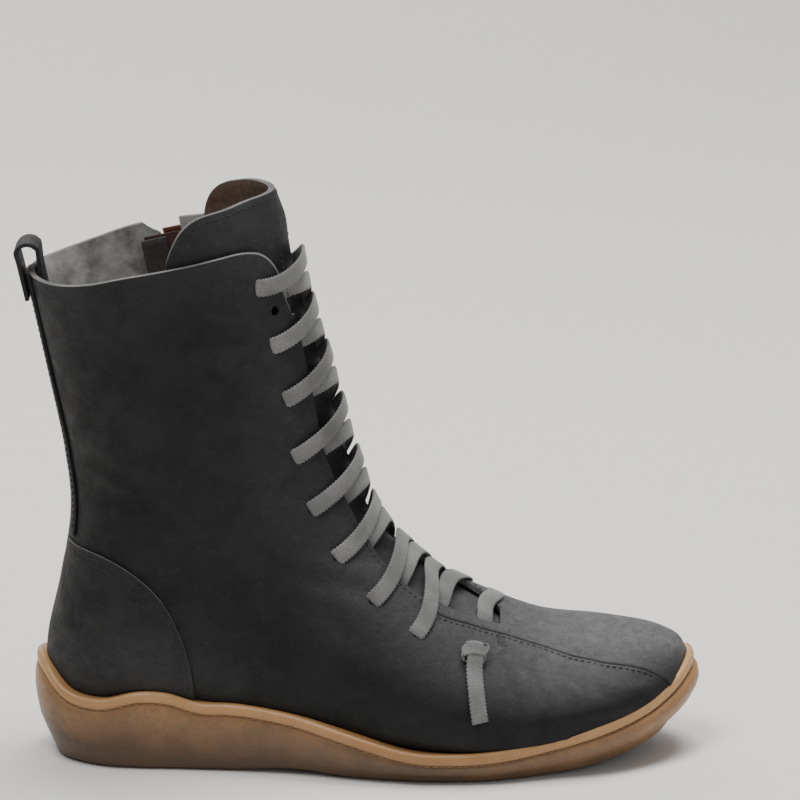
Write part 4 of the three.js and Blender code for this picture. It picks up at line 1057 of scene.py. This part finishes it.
def make_camera():
    """The photograph's view: square on to the outer side, a little above, from two metres."""
    target, distance, lift = Vector((0.095, 0, 0.115)), 2.0, math.radians(15.5)
    data = bpy.data.cameras.new("view")
    data.lens, data.sensor_width = 220.3, 36
    data.shift_x, data.shift_y = 32 / 800, 80 / 800
    camera = bpy.data.objects.new("view", data)
    back = Vector((0, -math.cos(lift), math.sin(lift)))
    camera.location = target + distance * back
    camera.rotation_euler = back.to_track_quat("Z", "Y").to_euler()
    bpy.context.scene.collection.objects.link(camera)
    bpy.context.scene.camera = camera
    return camera


def tongue_turn(s, share):
    """The turn at a share of the tongue's width, from -1 at its outer edge to 1 at its inner edge."""
    station = min(s, COLLAR_STATION)
    side = -1 if share < 0 else 1
    top = TONGUE_LATERAL_REACH if side < 0 else TONGUE_MEDIAL_REACH
    reach = TONGUE_FOOT_REACH + (top - TONGUE_FOOT_REACH) * (1 - throat_share(station)) ** 1.5
    return abs(share) * behind_edge(station, side, reach)


def tongue_depth(s):
    """How far the tongue's face lies inside the last: the lace presses it in, and above it is level."""
    pressed = min(max((COLLAR_STATION + 0.2 - s) / 0.6, 0), 1)
    return WALL + CLEARANCE + 1.25 * pressed * pressed * (3 - 2 * pressed)


TONGUE_TOP = smooth_line([(length_at(x), z * COLLAR_HEIGHT) for x, z in TONGUE_TOP_LINE], 80)


def tongue_top_station(share):
    """The station where a column of the tongue reaches its top line, with its corners rounded off."""
    stations = np.linspace(14, LAST_END, 200)
    line = np.array([last(s, tongue_turn(s, share), -WALL - CLEARANCE) for s in stations])
    over = line[:, 2] - np.interp(line[:, 0], TONGUE_TOP[:, 0], TONGUE_TOP[:, 1])
    top = float(np.interp(0, over, stations)) if over[-1] > 0 else LAST_END
    corner = max(0, abs(share) - 0.7) / 0.3
    return top - 0.55 * (1 - math.sqrt(max(0, 1 - corner**2)))


def make_tongue():
    shares = np.sin(np.linspace(-math.pi / 2, math.pi / 2, 81))
    foot = station_down(THROAT_LENGTH - 4)
    stations = np.array([np.linspace(foot, tongue_top_station(share), 130) for share in shares]).T
    turns = np.array([[tongue_turn(s, share) for s, share in zip(row, shares)] for row in stations])
    depth = np.array([[tongue_depth(s) for s in row] for row in stations])
    outer = last(stations, turns, -depth)
    inner = last(stations, turns, -depth - TONGUE_THICKNESS)
    piece = slab("tongue_leather", outer, inner, [LEATHER, TONGUE_BACK, RAW_EDGE])
    rows, columns = stations.shape
    quads = (rows - 1) * (columns - 1)
    indices = [0] * quads + [1] * quads + [2] * (len(piece.data.polygons) - 2 * quads)
    piece.data.polygons.foreach_set("material_index", indices)
    soften(piece, 0.7)
    dress(piece, 0)
    return rides(smooth(piece), "nubuck", "tongue")


def soften(piece, width, segments=2, angle=50):
    """Rounds the sharp edges of a piece."""
    step = piece.modifiers.new("soft", "BEVEL")
    step.width, step.segments = width * MM, segments
    step.limit_method, step.angle_limit = "ANGLE", math.radians(angle)
    step.harden_normals = False
    bake(piece)


def back_station(z):
    stations = np.linspace(len(FOOT) + 2, LAST_END, 401)
    return float(np.interp(z, section_at(stations)[1], stations))


# Half width of the back strip at its foot and at its top
STRIP_LOW, STRIP_HIGH = 13, 8.5


def make_strip():
    """The tapered strip down the back seam."""
    start, end = back_station(COUNTER_HEIGHT + 1.6), back_station(COLLAR_HEIGHT - 0.5)

    def half_turn(s):
        _, _, _, _, _, medial, ridge, _, _, _, square = section_at(s)
        half = STRIP_LOW + (STRIP_HIGH - STRIP_LOW) * (s - start) / (end - start)
        return math.asin(min(half / (medial - ridge), 1) ** (square / 2))

    piece = band(
        "strip_leather", start, end, 110,
        lambda s: math.pi - half_turn(s), lambda s: math.pi + half_turn(s),
        24, CLEARANCE - 0.25, CLEARANCE + OVERLAY, LEATHER,
    )
    soften(piece, 0.45)
    dress(piece)
    return rides(smooth(piece), "nubuck", "back_strip")


def make_loop():
    """The pull loop: a strip folded over the back of the collar, its legs inside and outside the wall."""
    back_x, back_z = section_at(COLLAR_STATION)[:2]
    low = COLLAR_HEIGHT - 12
    below = float(np.interp(low, *[section_at(np.linspace(14, 19, 60))[k] for k in (1, 0)]))
    lean = (below - back_x) / (back_z - low)
    strip, depth, wide = 1.6, 11.0, 18.0
    inner_x = back_x + WALL + CLEARANCE + strip + wide**2 / (4 * SHAFT_WIDTH) + 2 * CLEARANCE
    outer_x = back_x - 2 * CLEARANCE - OVERLAY - strip
    middle = ((inner_x + outer_x) / 2 - 1.2, COLLAR_HEIGHT + 12 - depth / 2)
    line = [(inner_x + lean * 12, low), (inner_x, COLLAR_HEIGHT + 1)]
    line += [
        (middle[0] + depth / 2 * math.cos(math.pi * t), middle[1] + depth / 2 * math.sin(math.pi * t))
        for t in np.linspace(0.15, 0.95, 9)
    ]
    line += [(outer_x - 0.6, COLLAR_HEIGHT + 2), (outer_x + lean * 12, low)]
    line = smooth_line(line, 70)
    along = np.gradient(line, axis=0)
    along /= np.linalg.norm(along, axis=1)[:, None]
    inside = line + strip * np.stack([-along[:, 1], along[:, 0]], -1)
    across = np.linspace(-wide / 2, wide / 2, 13)
    grids = [np.array([[(x, y, z) for y in across] for x, z in side]) for side in (line, inside)]
    piece = slab("loop_leather", grids[0], grids[1], [LEATHER])
    soften(piece, 0.4)
    dress(piece, 0)
    return rides(smooth(piece), "nubuck", "pull_loop")


def ribbon(name, path, across, wide, thick, materials, taper=None):
    """A flat woven lace along a path: rounded sides, and ribs that notch its edges."""
    path = np.asarray(path, float)
    gone = np.concatenate([[0], np.cumsum(np.linalg.norm(np.diff(path, axis=0), axis=1))])
    count = max(int(gone[-1] / 0.4), 8)
    even = np.linspace(0, gone[-1], count)
    centre = np.stack([np.interp(even, gone, path[:, k]) for k in range(3)], -1)
    sides = np.stack([np.interp(even, gone, across[:, k]) for k in range(3)], -1)
    width = np.full(count, wide / 2) if taper is None else np.interp(even / gone[-1], *zip(*taper)) * wide / 2
    along = np.gradient(centre, axis=0)
    along /= np.linalg.norm(along, axis=1)[:, None]
    sides -= (sides * along).sum(1)[:, None] * along
    sides /= np.linalg.norm(sides, axis=1)[:, None]
    out = np.cross(sides, along)
    rib = np.sin(2 * math.pi * even / LACE_RIB)
    turns = np.linspace(0, 2 * math.pi, 19)[:-1]
    flat_x = np.sign(np.cos(turns)) * np.abs(np.cos(turns)) ** 0.35
    flat_y = np.sign(np.sin(turns)) * np.abs(np.sin(turns)) ** 0.8
    rings = (
        centre[:, None]
        + (width + 0.24 * rib)[:, None, None] * flat_x[:, None] * sides[:, None]
        + (thick / 2 + 0.02 * rib)[:, None, None] * flat_y[:, None] * out[:, None]
    )
    piece = closed_grid(name, rings, materials)
    piece.data.shade_smooth()
    return piece, centre


LACE_RIB = 1.6


def lay(places, lifts):
    """Points on the leather at stations and turns, lifted off it, with their surface normals."""
    frames = [surface_frame(s, turn) for s, turn in places]
    points = np.array([f[0] + lift * f[1] for f, lift in zip(frames, lifts)])
    return points, np.array([f[1] for f in frames])


def crossing(name, hole, end_down, side, lift):
    """A lace from its hole over the throat and in under the far edge. lift gives its height along the way."""
    s_end = station_down(end_down)
    far = throat_edge(s_end, -side, -1.0)
    shares = np.linspace(0, 1, 40)
    start_down = down_at(hole[0])
    bow = 1.0 if side < 0 else 0.5
    downs = start_down + (end_down - start_down) * shares
    downs += bow * (2.2 * np.sin(2 * math.pi * shares) - 2.4 * np.sin(math.pi * shares) ** 2)
    places = [(station_down(d), hole[1] + (far - hole[1]) * t) for d, t in zip(downs, shares)]
    places[0] = hole
    points, normals = lay(places, [lift(t) for t in shares])
    heading = points[3] - points[0]
    heading /= np.linalg.norm(heading)
    start, normal = surface_frame(*hole)[:2]
    # The hole's end turns down through the leather
    lead = [start - 0.5 * heading + normal * h for h in (-2.6, -1.2, 0.0)]
    tail_s, tail_turn = places[-1]
    under = [(tail_s, tail_turn - side * 0.035 * k) for k in (1, 2, 3)]
    under_points, under_normals = lay(under, (-2.5, -3.0, -3.1))
    points = np.concatenate([lead, points[1:], under_points])
    normals = np.concatenate([[normal] * 3, normals[1:], under_normals])
    path = smooth_line(points, 120)
    normals = smooth_line(normals, 120)
    along = np.gradient(path, axis=0)
    across = np.cross(normals, along)
    across[:6] = across[12]
    across /= np.linalg.norm(across, axis=1)[:, None]
    taper = [(0, 0.8), (0.03, 0.97), (0.05, 1), (1, 1)]
    return ribbon(name, path, across, LACE_WIDTH, LACE_THICKNESS, [LACE], taper)[0]


def make_laces():
    """Each outer crossing lies over the inner one beside it. The first crossing starts the lacing."""
    half = LACE_THICKNESS / 2

    def over(t):
        raised = math.exp(-(((t - 0.42) / 0.2) ** 2))
        return half + 0.25 + 1.1 * raised + 0.5 * math.sin(math.pi * t) - 2.4 * max(0, (t - 0.84) / 0.16) ** 2

    def under(t):
        return half + 0.2 + 0.3 * math.sin(math.pi * t) - 2.7 * max(0, (t - 0.82) / 0.18) ** 2

    for k, (outer, inner) in enumerate(zip(LATERAL_EYELETS, MEDIAL_EYELETS)):
        top = crossing(f"lace_over_{k + 1}", LATERAL_HOLES[k], outer[2], -1, over)
        low = crossing(f"lace_under_{k + 1}", MEDIAL_HOLES[k], inner[2], 1, under)
        rides(top, "lace", f"lace_pair_{k + 1}")
        rides(low, "lace")
    first = crossing("lace_first", FIRST_HOLE, 185, 1, under)
    rides(first, "lace", "lace_first_crossing")


def lace_material():
    made = Shade("lace", roughness=0.85, Sheen_Weight=0.25)
    weave = made.noise(1500, 2, 0.6)
    cloud = made.noise(60, 2, 0.5)
    base = made.mix(made.fit(cloud, 0.35, 0.65), (0.12, 0.12, 0.118), (0.21, 0.21, 0.206))
    made.colour(made.mix(made.fit(weave, 0.35, 0.65, 0, 0.55), base, (0.08, 0.08, 0.08)))
    made.bump((weave, 0.12))
    return made.material


LACE = lace_material()


def thread_run(name, line, normals, material, pitch=2.6, stitch=1.9, radius=0.24, sunk=0.1):
    """A row of stitches along a line on a surface: short rounded threads that dip in at both ends."""
    line, normals = np.asarray(line, float), np.asarray(normals, float)
    gone = np.concatenate([[0], np.cumsum(np.linalg.norm(np.diff(line, axis=0), axis=1))])
    count = max(int(gone[-1] / pitch), 1)
    shares = np.linspace(-0.5, 0.5, 6)
    turns = np.linspace(0, 2 * math.pi, 7)[:-1]
    points, faces = [], []
    for k in range(count):
        at = (k + 0.5) * gone[-1] / count + shares * stitch
        centre = np.stack([np.interp(at, gone, line[:, i]) for i in range(3)], -1)
        normal = np.stack([np.interp(at, gone, normals[:, i]) for i in range(3)], -1)
        normal /= np.linalg.norm(normal, axis=1)[:, None]
        centre += normal * (radius * 0.75 - sunk - 0.5 * (2 * np.abs(shares)) ** 4)[:, None]
        along = centre[-1] - centre[0]
        across = np.cross(normal, along / np.linalg.norm(along))
        ring = centre[:, None] + radius * (
            np.cos(turns)[:, None] * across[:, None] + np.sin(turns)[:, None] * normal[:, None]
        )
        start = len(points)
        points.extend(ring.reshape(-1, 3))
        faces += grid_faces(len(shares), len(turns), True, start)
        faces += [tuple(range(start + 5, start - 1, -1)), tuple(range(len(points) - 6, len(points)))]
    piece = mesh_piece(name, points, faces, [material])
    piece.data.shade_smooth()
    return piece


def surface_line(places, lift=0.0):
    """Points and normals on the leather, folds included, for stations and turns."""
    frames = [surface_frame(s, turn) for s, turn in places]
    points = np.array([f[0] for f in frames])
    normals = np.array([f[1] for f in frames])
    return points + (folds(points) + lift)[:, None] * normals + flare(points), normals


def side_line(outline, side, lift):
    """Points and normals on the leather where a line in the side view crosses it, on one side of the boot."""
    stations = np.linspace(0, LAST_END, 400)
    turns = side * np.linspace(0.02, math.pi - 0.02, 260)
    grid = last(stations[:, None], turns[None], lift)
    flat = grid.reshape(-1, 3)
    tree = KDTree(len(flat))
    for i, point in enumerate(flat):
        tree.insert((point[0], 0, point[2]), i)
    tree.balance()
    points, normals = [], []
    for x, z in outline:
        near = tree.find_n((x, 0, z), 4)
        weights = np.array([1 / (row[2] + 1e-4) for row in near])
        chosen = flat[[row[1] for row in near]]
        y = float((weights * chosen[:, 1]).sum() / weights.sum())
        i, j = divmod(near[0][1], len(turns))
        points.append((x, y, z))
        normals.append(surface_frame(stations[i], turns[j])[1])
    points, normals = np.array(points), np.array(normals)
    return points + folds(points)[:, None] * normals, normals


def make_stitches():
    """Every seam and edge row of the uppers, joined in one piece."""
    rows = []
    foot = station_down(THROAT_LENGTH - 6)
    for side in (-1, 1):
        rows.append([(s, behind_edge(s, side, 2.2)) for s in np.linspace(station_down(8), foot, 150)])
    pieces = [thread_run(f"row_{i}", *surface_line(row), THREAD) for i, row in enumerate(rows)]
    line, normals, across = vamp_seam()
    pieces.append(thread_run("vamp_row", line - 1.7 * across, normals, THREAD))
    for k in range(4):
        tack = smooth_line([(5.8 - 0.045 * k, -0.6), (5.74 - 0.045 * k, -0.7)], 8)
        pieces.append(thread_run(f"tack_{k}", *surface_line(tack), THREAD, 1.5, 1.2))
    for inset in (1.8, 4.0):
        outline = counter_outline(-inset)[2:-1]
        for side in (-1, 1):
            found = side_line(outline, side, CLEARANCE + OVERLAY)
            pieces.append(thread_run(f"counter_row_{side}_{inset}", *found, THREAD))
    start, end = back_station(COUNTER_HEIGHT + 4), back_station(COLLAR_HEIGHT - 2)
    for side in (-1, 1):
        places = []
        for s in np.linspace(start, end, 80):
            _, _, _, _, _, medial, ridge, _, _, _, square = section_at(s)
            half = STRIP_LOW + (STRIP_HIGH - STRIP_LOW) * (s - start) / (end - start) - 1.9
            places.append((s, math.pi + side * math.asin(min(half / (medial - ridge), 1) ** (square / 2))))
        pieces.append(thread_run(f"strip_row_{side}", *surface_line(places, CLEARANCE + OVERLAY), THREAD))
    share_row = [(tongue_top_station(t) - 0.07, t) for t in np.linspace(-0.93, 0.93, 90)]
    points = np.array([last(s, tongue_turn(s, t), -tongue_depth(s)) for s, t in share_row])
    normals = np.array([surface_frame(s, tongue_turn(s, t))[1] for s, t in share_row])
    pieces.append(thread_run("tongue_row", points, normals, THREAD))
    rides(joined("stitches", pieces), "nubuck")


# The vamp seam's path as stations and turns, from the throat's outer edge to the rim beside the toe
SEAM = [
    (7.05, -0.645), (6.7, -0.63), (6.3, -0.6), (5.98, -0.59), (5.64, -0.575), (5.32, -0.58), (5.0, -0.6),
    (4.68, -0.66),
    (4.37, -0.735), (3.94, -0.81),
    (3.47, -0.89), (3.02, -0.985), (2.62, -1.11), (2.3, -1.24), (2.06, -1.38), (1.85, -1.58), (1.7, -1.85),
]


def vamp_seam():
    """Points, normals and the way towards the inner side along the vamp's seam."""
    places = smooth_line(SEAM, 160)
    line, normals = surface_line(places)
    across = np.cross(np.gradient(line, axis=0), normals)
    across /= np.linalg.norm(across, axis=1)[:, None]
    across *= np.sign(across[:, 1])[:, None]
    return line, normals, across


def make_seam():
    """The toe piece's edge: it lies over the outer quarter and fades into the vamp."""
    line, normals, across = vamp_seam()
    step = [(-0.1, -0.5), (-0.12, 0.32), (0.15, 0.58), (0.9, 0.6)]
    slope = [(2.2, 0.42), (4.2, 0.14), (6.0, -0.12), (6.0, -0.7)]
    rings = [line + a * across + h * normals for a, h in step + slope]
    edge = closed_grid("vamp_edge", np.stack(rings, 1), [LEATHER])
    # The seam's edge takes the same mask of rubbed wear and painted highlight as the leather.
    mark(edge, "rub_and_highlight", lambda points: rub_and_highlight_of(points, surface_places(points)[0]))
    return rides(smooth(edge, 60), "nubuck")


def joined(name, pieces):
    """One piece from several."""
    work = bmesh.new()
    materials = []
    for piece in pieces:
        before = len(work.faces)
        work.from_mesh(piece.data)
        work.faces.ensure_lookup_table()
        for face in work.faces[before:]:
            made = piece.data.materials[face.material_index]
            if made not in materials:
                materials.append(made)
            face.material_index = materials.index(made)
        drop(piece)
    mesh = bpy.data.meshes.new(name)
    work.to_mesh(mesh)
    work.free()
    for made in materials:
        mesh.materials.append(made)
    mesh.shade_smooth()
    result = bpy.data.objects.new(name, mesh)
    bpy.context.scene.collection.objects.link(result)
    return result


def end_places(hole, length, step):
    """Stations and turns that a hanging lace end covers, from its hole, with the distance of each."""
    down_step, round_step = step
    s, turn = hole
    places, gone = [(s, turn)], [0.0]
    before = last(s, turn)
    while gone[-1] < length:
        s -= down_step
        turn += math.copysign(round_step, hole[1])
        here = last(s, turn)
        gone.append(gone[-1] + float(np.linalg.norm(here - before)))
        places.append((s, turn))
        before = here
    return places, gone


def make_end(name, hole, tail, step, nodes):
    """A lace end: up through its hole, doubled over under the knot's band, and down the leather."""
    places, gone = end_places(hole, tail, step)
    even_gone = np.linspace(0, gone[-1], 24)
    ahead = [tuple(np.interp(g, gone, column) for column in zip(*places)) for g in even_gone]
    frames = [surface_frame(*place) for place in ahead]
    origin, normal = frames[0][:2]
    heading = frames[3][0] - origin
    heading -= (heading @ normal) * normal
    heading /= np.linalg.norm(heading)
    rise = [(0, -3), (-0.3, 0.4), (-2.2, 1.3), (-4.0, 2.3), (-3.4, 3.9), (-1.0, 4.1), (2.5, 3.5)]
    lead = [origin + a * heading + h * normal for a, h in rise]
    run = [f[0] + (folds(f[0][None])[0] + 0.85 + 1.7 * math.exp(-max(g - 4.5, 0) / 2.2)) * f[1]
           for f, g in zip(frames, even_gone) if g > 4.5]
    path = smooth_line(lead + run, 150)
    across = np.cross(heading, normal)
    sides = np.repeat(across[None], len(path), 0)
    taper = [(0, 0.6), (0.1, 1), (1, 1)]
    piece, centre = ribbon(name, path, sides, LACE_WIDTH, LACE_THICKNESS, [LACE], taper)
    band = knot_band(name.replace("end", "knot"), origin, heading, across, normal)
    rides(band, "lace", nodes[0])
    rides(piece, "lace", nodes[1])


def knot_band(name, origin, heading, across, normal):
    """The band that wraps over the doubled lace, and the folded turn that shows beside it."""

    def place(points):
        return np.array([origin + a * heading + c * across + h * normal for a, c, h in points])

    turns = np.linspace(0, 2 * math.pi, 49)[:-1]
    wrap = [(0.4 - 0.9 * math.sin(t), 4.7 * math.cos(t), 2.3 + 2.2 * math.sin(t)) for t in turns]
    ring = place(wrap + wrap[:1])
    sides = np.repeat((heading + 0.18 * across)[None], len(ring), 0)
    band = ribbon("wrap", ring, sides, 5.4, 1.3, [LACE])[0]
    turn = [
        (1.5, -2.5, 2.9), (-1.2, -4.8, 3.0), (-3.6, -4.9, 2.6), (-4.9, -1.9, 2.1), (-3.9, 1.6, 2.4),
        (-1.4, 3.2, 3.0),
    ]
    path = smooth_line(place(turn), 60)
    lobe = ribbon("lobe", path, np.repeat((normal + 0.9 * heading)[None], 60, 0), 4.4, 1.3, [LACE])[0]
    return joined(name, [band, lobe])


LACE_TAIL = 29


def make_ends():
    make_end("lace_end_low", LOWER_KNOT_HOLE, LACE_TAIL, (0.003, 0.01), ("lace_knot_lower", "lace_end_lower"))
    make_end("lace_end_top", UPPER_KNOT_HOLE, LACE_TAIL, (0.02, 0.001), ("lace_knot_upper", "lace_end_upper"))


# Reach of the zip's tape and of its inner facing from the middle of the slit, and the pitch of its coil
TAPE_REACH, FACING_REACH, COIL_PITCH = 13, 15, 1.25


def zip_line(aside, lift, start, end, count):
    """Points and normals along the zip, set aside towards the toe."""
    places = [(s, zip_turn(s, aside)) for s in np.linspace(start, end, count)]
    frames = [surface_frame(*place) for place in places]
    points, normals = np.array([f[0] for f in frames]), np.array([f[1] for f in frames])
    return points + lift * normals, normals


def make_zip():
    """The tape behind the slit, its coil, and the rows and binding beside it."""
    foot, top = zip_station(ZIP_FOOT_Z + 0.5), zip_station(ZIP_TOP_Z - 7)
    outer = -(WALL + CLEARANCE)
    tape = band(
        "zip_fabric", zip_station(ZIP_FOOT_Z - 5), zip_station(ZIP_TOP_Z - 4), 120,
        lambda s: zip_turn(s, TAPE_REACH), lambda s: zip_turn(s, -TAPE_REACH), 20, outer - 0.8, outer, TAPE,
    )
    combine(tape, above_collar("tape_cut", TAPE, 1.0))
    rides(smooth(tape), "zip_coil", "zip_tape")
    line, normals = zip_line(0, -1.3, foot, top, 400)
    gone = np.concatenate([[0], np.cumsum(np.linalg.norm(np.diff(line, axis=0), axis=1))])
    count = int(gone[-1] / COIL_PITCH)
    teeth = []
    for side in (-1, 1):
        ends = []
        for k in range(count):
            at = (k + (0.25 if side < 0 else 0.75)) * COIL_PITCH
            centre = np.array([np.interp(at, gone, line[:, i]) for i in range(3)])
            normal = np.array([np.interp(at, gone, normals[:, i]) for i in range(3)])
            ahead = np.array([np.interp(at + 1, gone, line[:, i]) for i in range(3)]) - centre
            across = np.cross(normal, ahead / np.linalg.norm(ahead))
            reach = [(-0.7, -0.25), (-0.2, 0.3), (1.0, 0.45), (2.0, 0.3), (2.6, -0.45)]
            ends.append(np.array([centre + side * a * across + h * normal for a, h in reach]))
        teeth.append(rods(f"coil_{side}", ends, 0.42, COIL))
    rides(joined("coil", teeth), "zip_coil")
    rows = []
    zig, zig_normals = zip_line(0, 0, foot, zip_station(ZIP_TOP_Z - 3), 110)
    left = zip_line(ZIP_SLIT / 2 + 1.6, 0.05, foot, zip_station(ZIP_TOP_Z - 3), 110)[0]
    right = zip_line(ZIP_SLIT / 2 + 4.4, 0.05, foot, zip_station(ZIP_TOP_Z - 3), 110)[0]
    zig = np.where((np.arange(110) % 2 == 0)[:, None], left, right)
    rows.append(rods("zigzag", [zig[k : k + 2] for k in range(109)], 0.24, THREAD))
    for aside in (-ZIP_SLIT / 2 - 2.4, ZIP_SLIT / 2 + 0.9):
        rows.append(thread_run("row", *zip_line(aside, 0.02, foot, zip_station(ZIP_TOP_Z - 3), 160), THREAD))
    rides(joined("zip_stitches", rows), "nubuck")
    binding = band(
        "zip_binding", foot, zip_station(ZIP_TOP_Z - 1.5), 110,
        lambda s: zip_turn(s, -ZIP_SLIT / 2 + 0.5 - slit_corner(s)),
        lambda s: zip_turn(s, -ZIP_SLIT / 2 - 1.1 - slit_corner(s)),
        3, -1.6, 0.35, RAW_EDGE,
    )
    soften(binding, 0.3)
    rides(smooth(binding), "nubuck")
    inner = outer - 0.8 - CLEARANCE
    facings = []
    for name, near, far in (
        ("front", FACING_REACH, ZIP_SLIT / 2 - 0.8), ("rear", -ZIP_SLIT / 2 + 0.8, -FACING_REACH)
    ):
        facing = band(
            f"facing_{name}", zip_station(ZIP_FOOT_Z - 6), zip_station(ZIP_TOP_Z - 5), 100,
            lambda s, near=near: zip_turn(s, near), lambda s, far=far: zip_turn(s, far),
            12, inner - 1.1, inner, FACING,
        )
        combine(facing, above_collar("facing_cut", FACING, 3.0))
        soften(facing, 0.35)
        facings.append(facing)
    rides(smooth(joined("zip_facing", facings)), "nubuck")


def rods(name, lines, radius, material, around=6):
    """Thin round rods along several short lines, as one piece."""
    turns = np.linspace(0, 2 * math.pi, around + 1)[:-1]
    points, faces = [], []
    for line in lines:
        line = np.asarray(line, float)
        along = np.gradient(line, axis=0)
        along /= np.linalg.norm(along, axis=1)[:, None]
        side = np.cross(along, (0.31, 0.2, 0.93))
        side /= np.linalg.norm(side, axis=1)[:, None]
        other = np.cross(along, side)
        ring = line[:, None] + radius * (
            np.cos(turns)[:, None] * side[:, None] + np.sin(turns)[:, None] * other[:, None]
        )
        start = len(points)
        points.extend(ring.reshape(-1, 3))
        faces += grid_faces(len(line), around, True, start)
        faces.append(tuple(range(start + around - 1, start - 1, -1)))
        faces.append(tuple(range(len(points) - around, len(points))))
    piece = mesh_piece(name, points, faces, [material])
    piece.data.shade_smooth()
    return piece


make_camera()
make_stage()
make_upper()
make_counter()
make_sole()
make_insole()
make_tongue()
make_strip()
make_loop()
make_laces()
make_ends()
make_zip()
make_seam()
make_stitches()
for node in ("zip_slider", "zip_pull"):
    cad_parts[node].data.materials.clear()
    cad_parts[node].data.materials.append(COPPER)
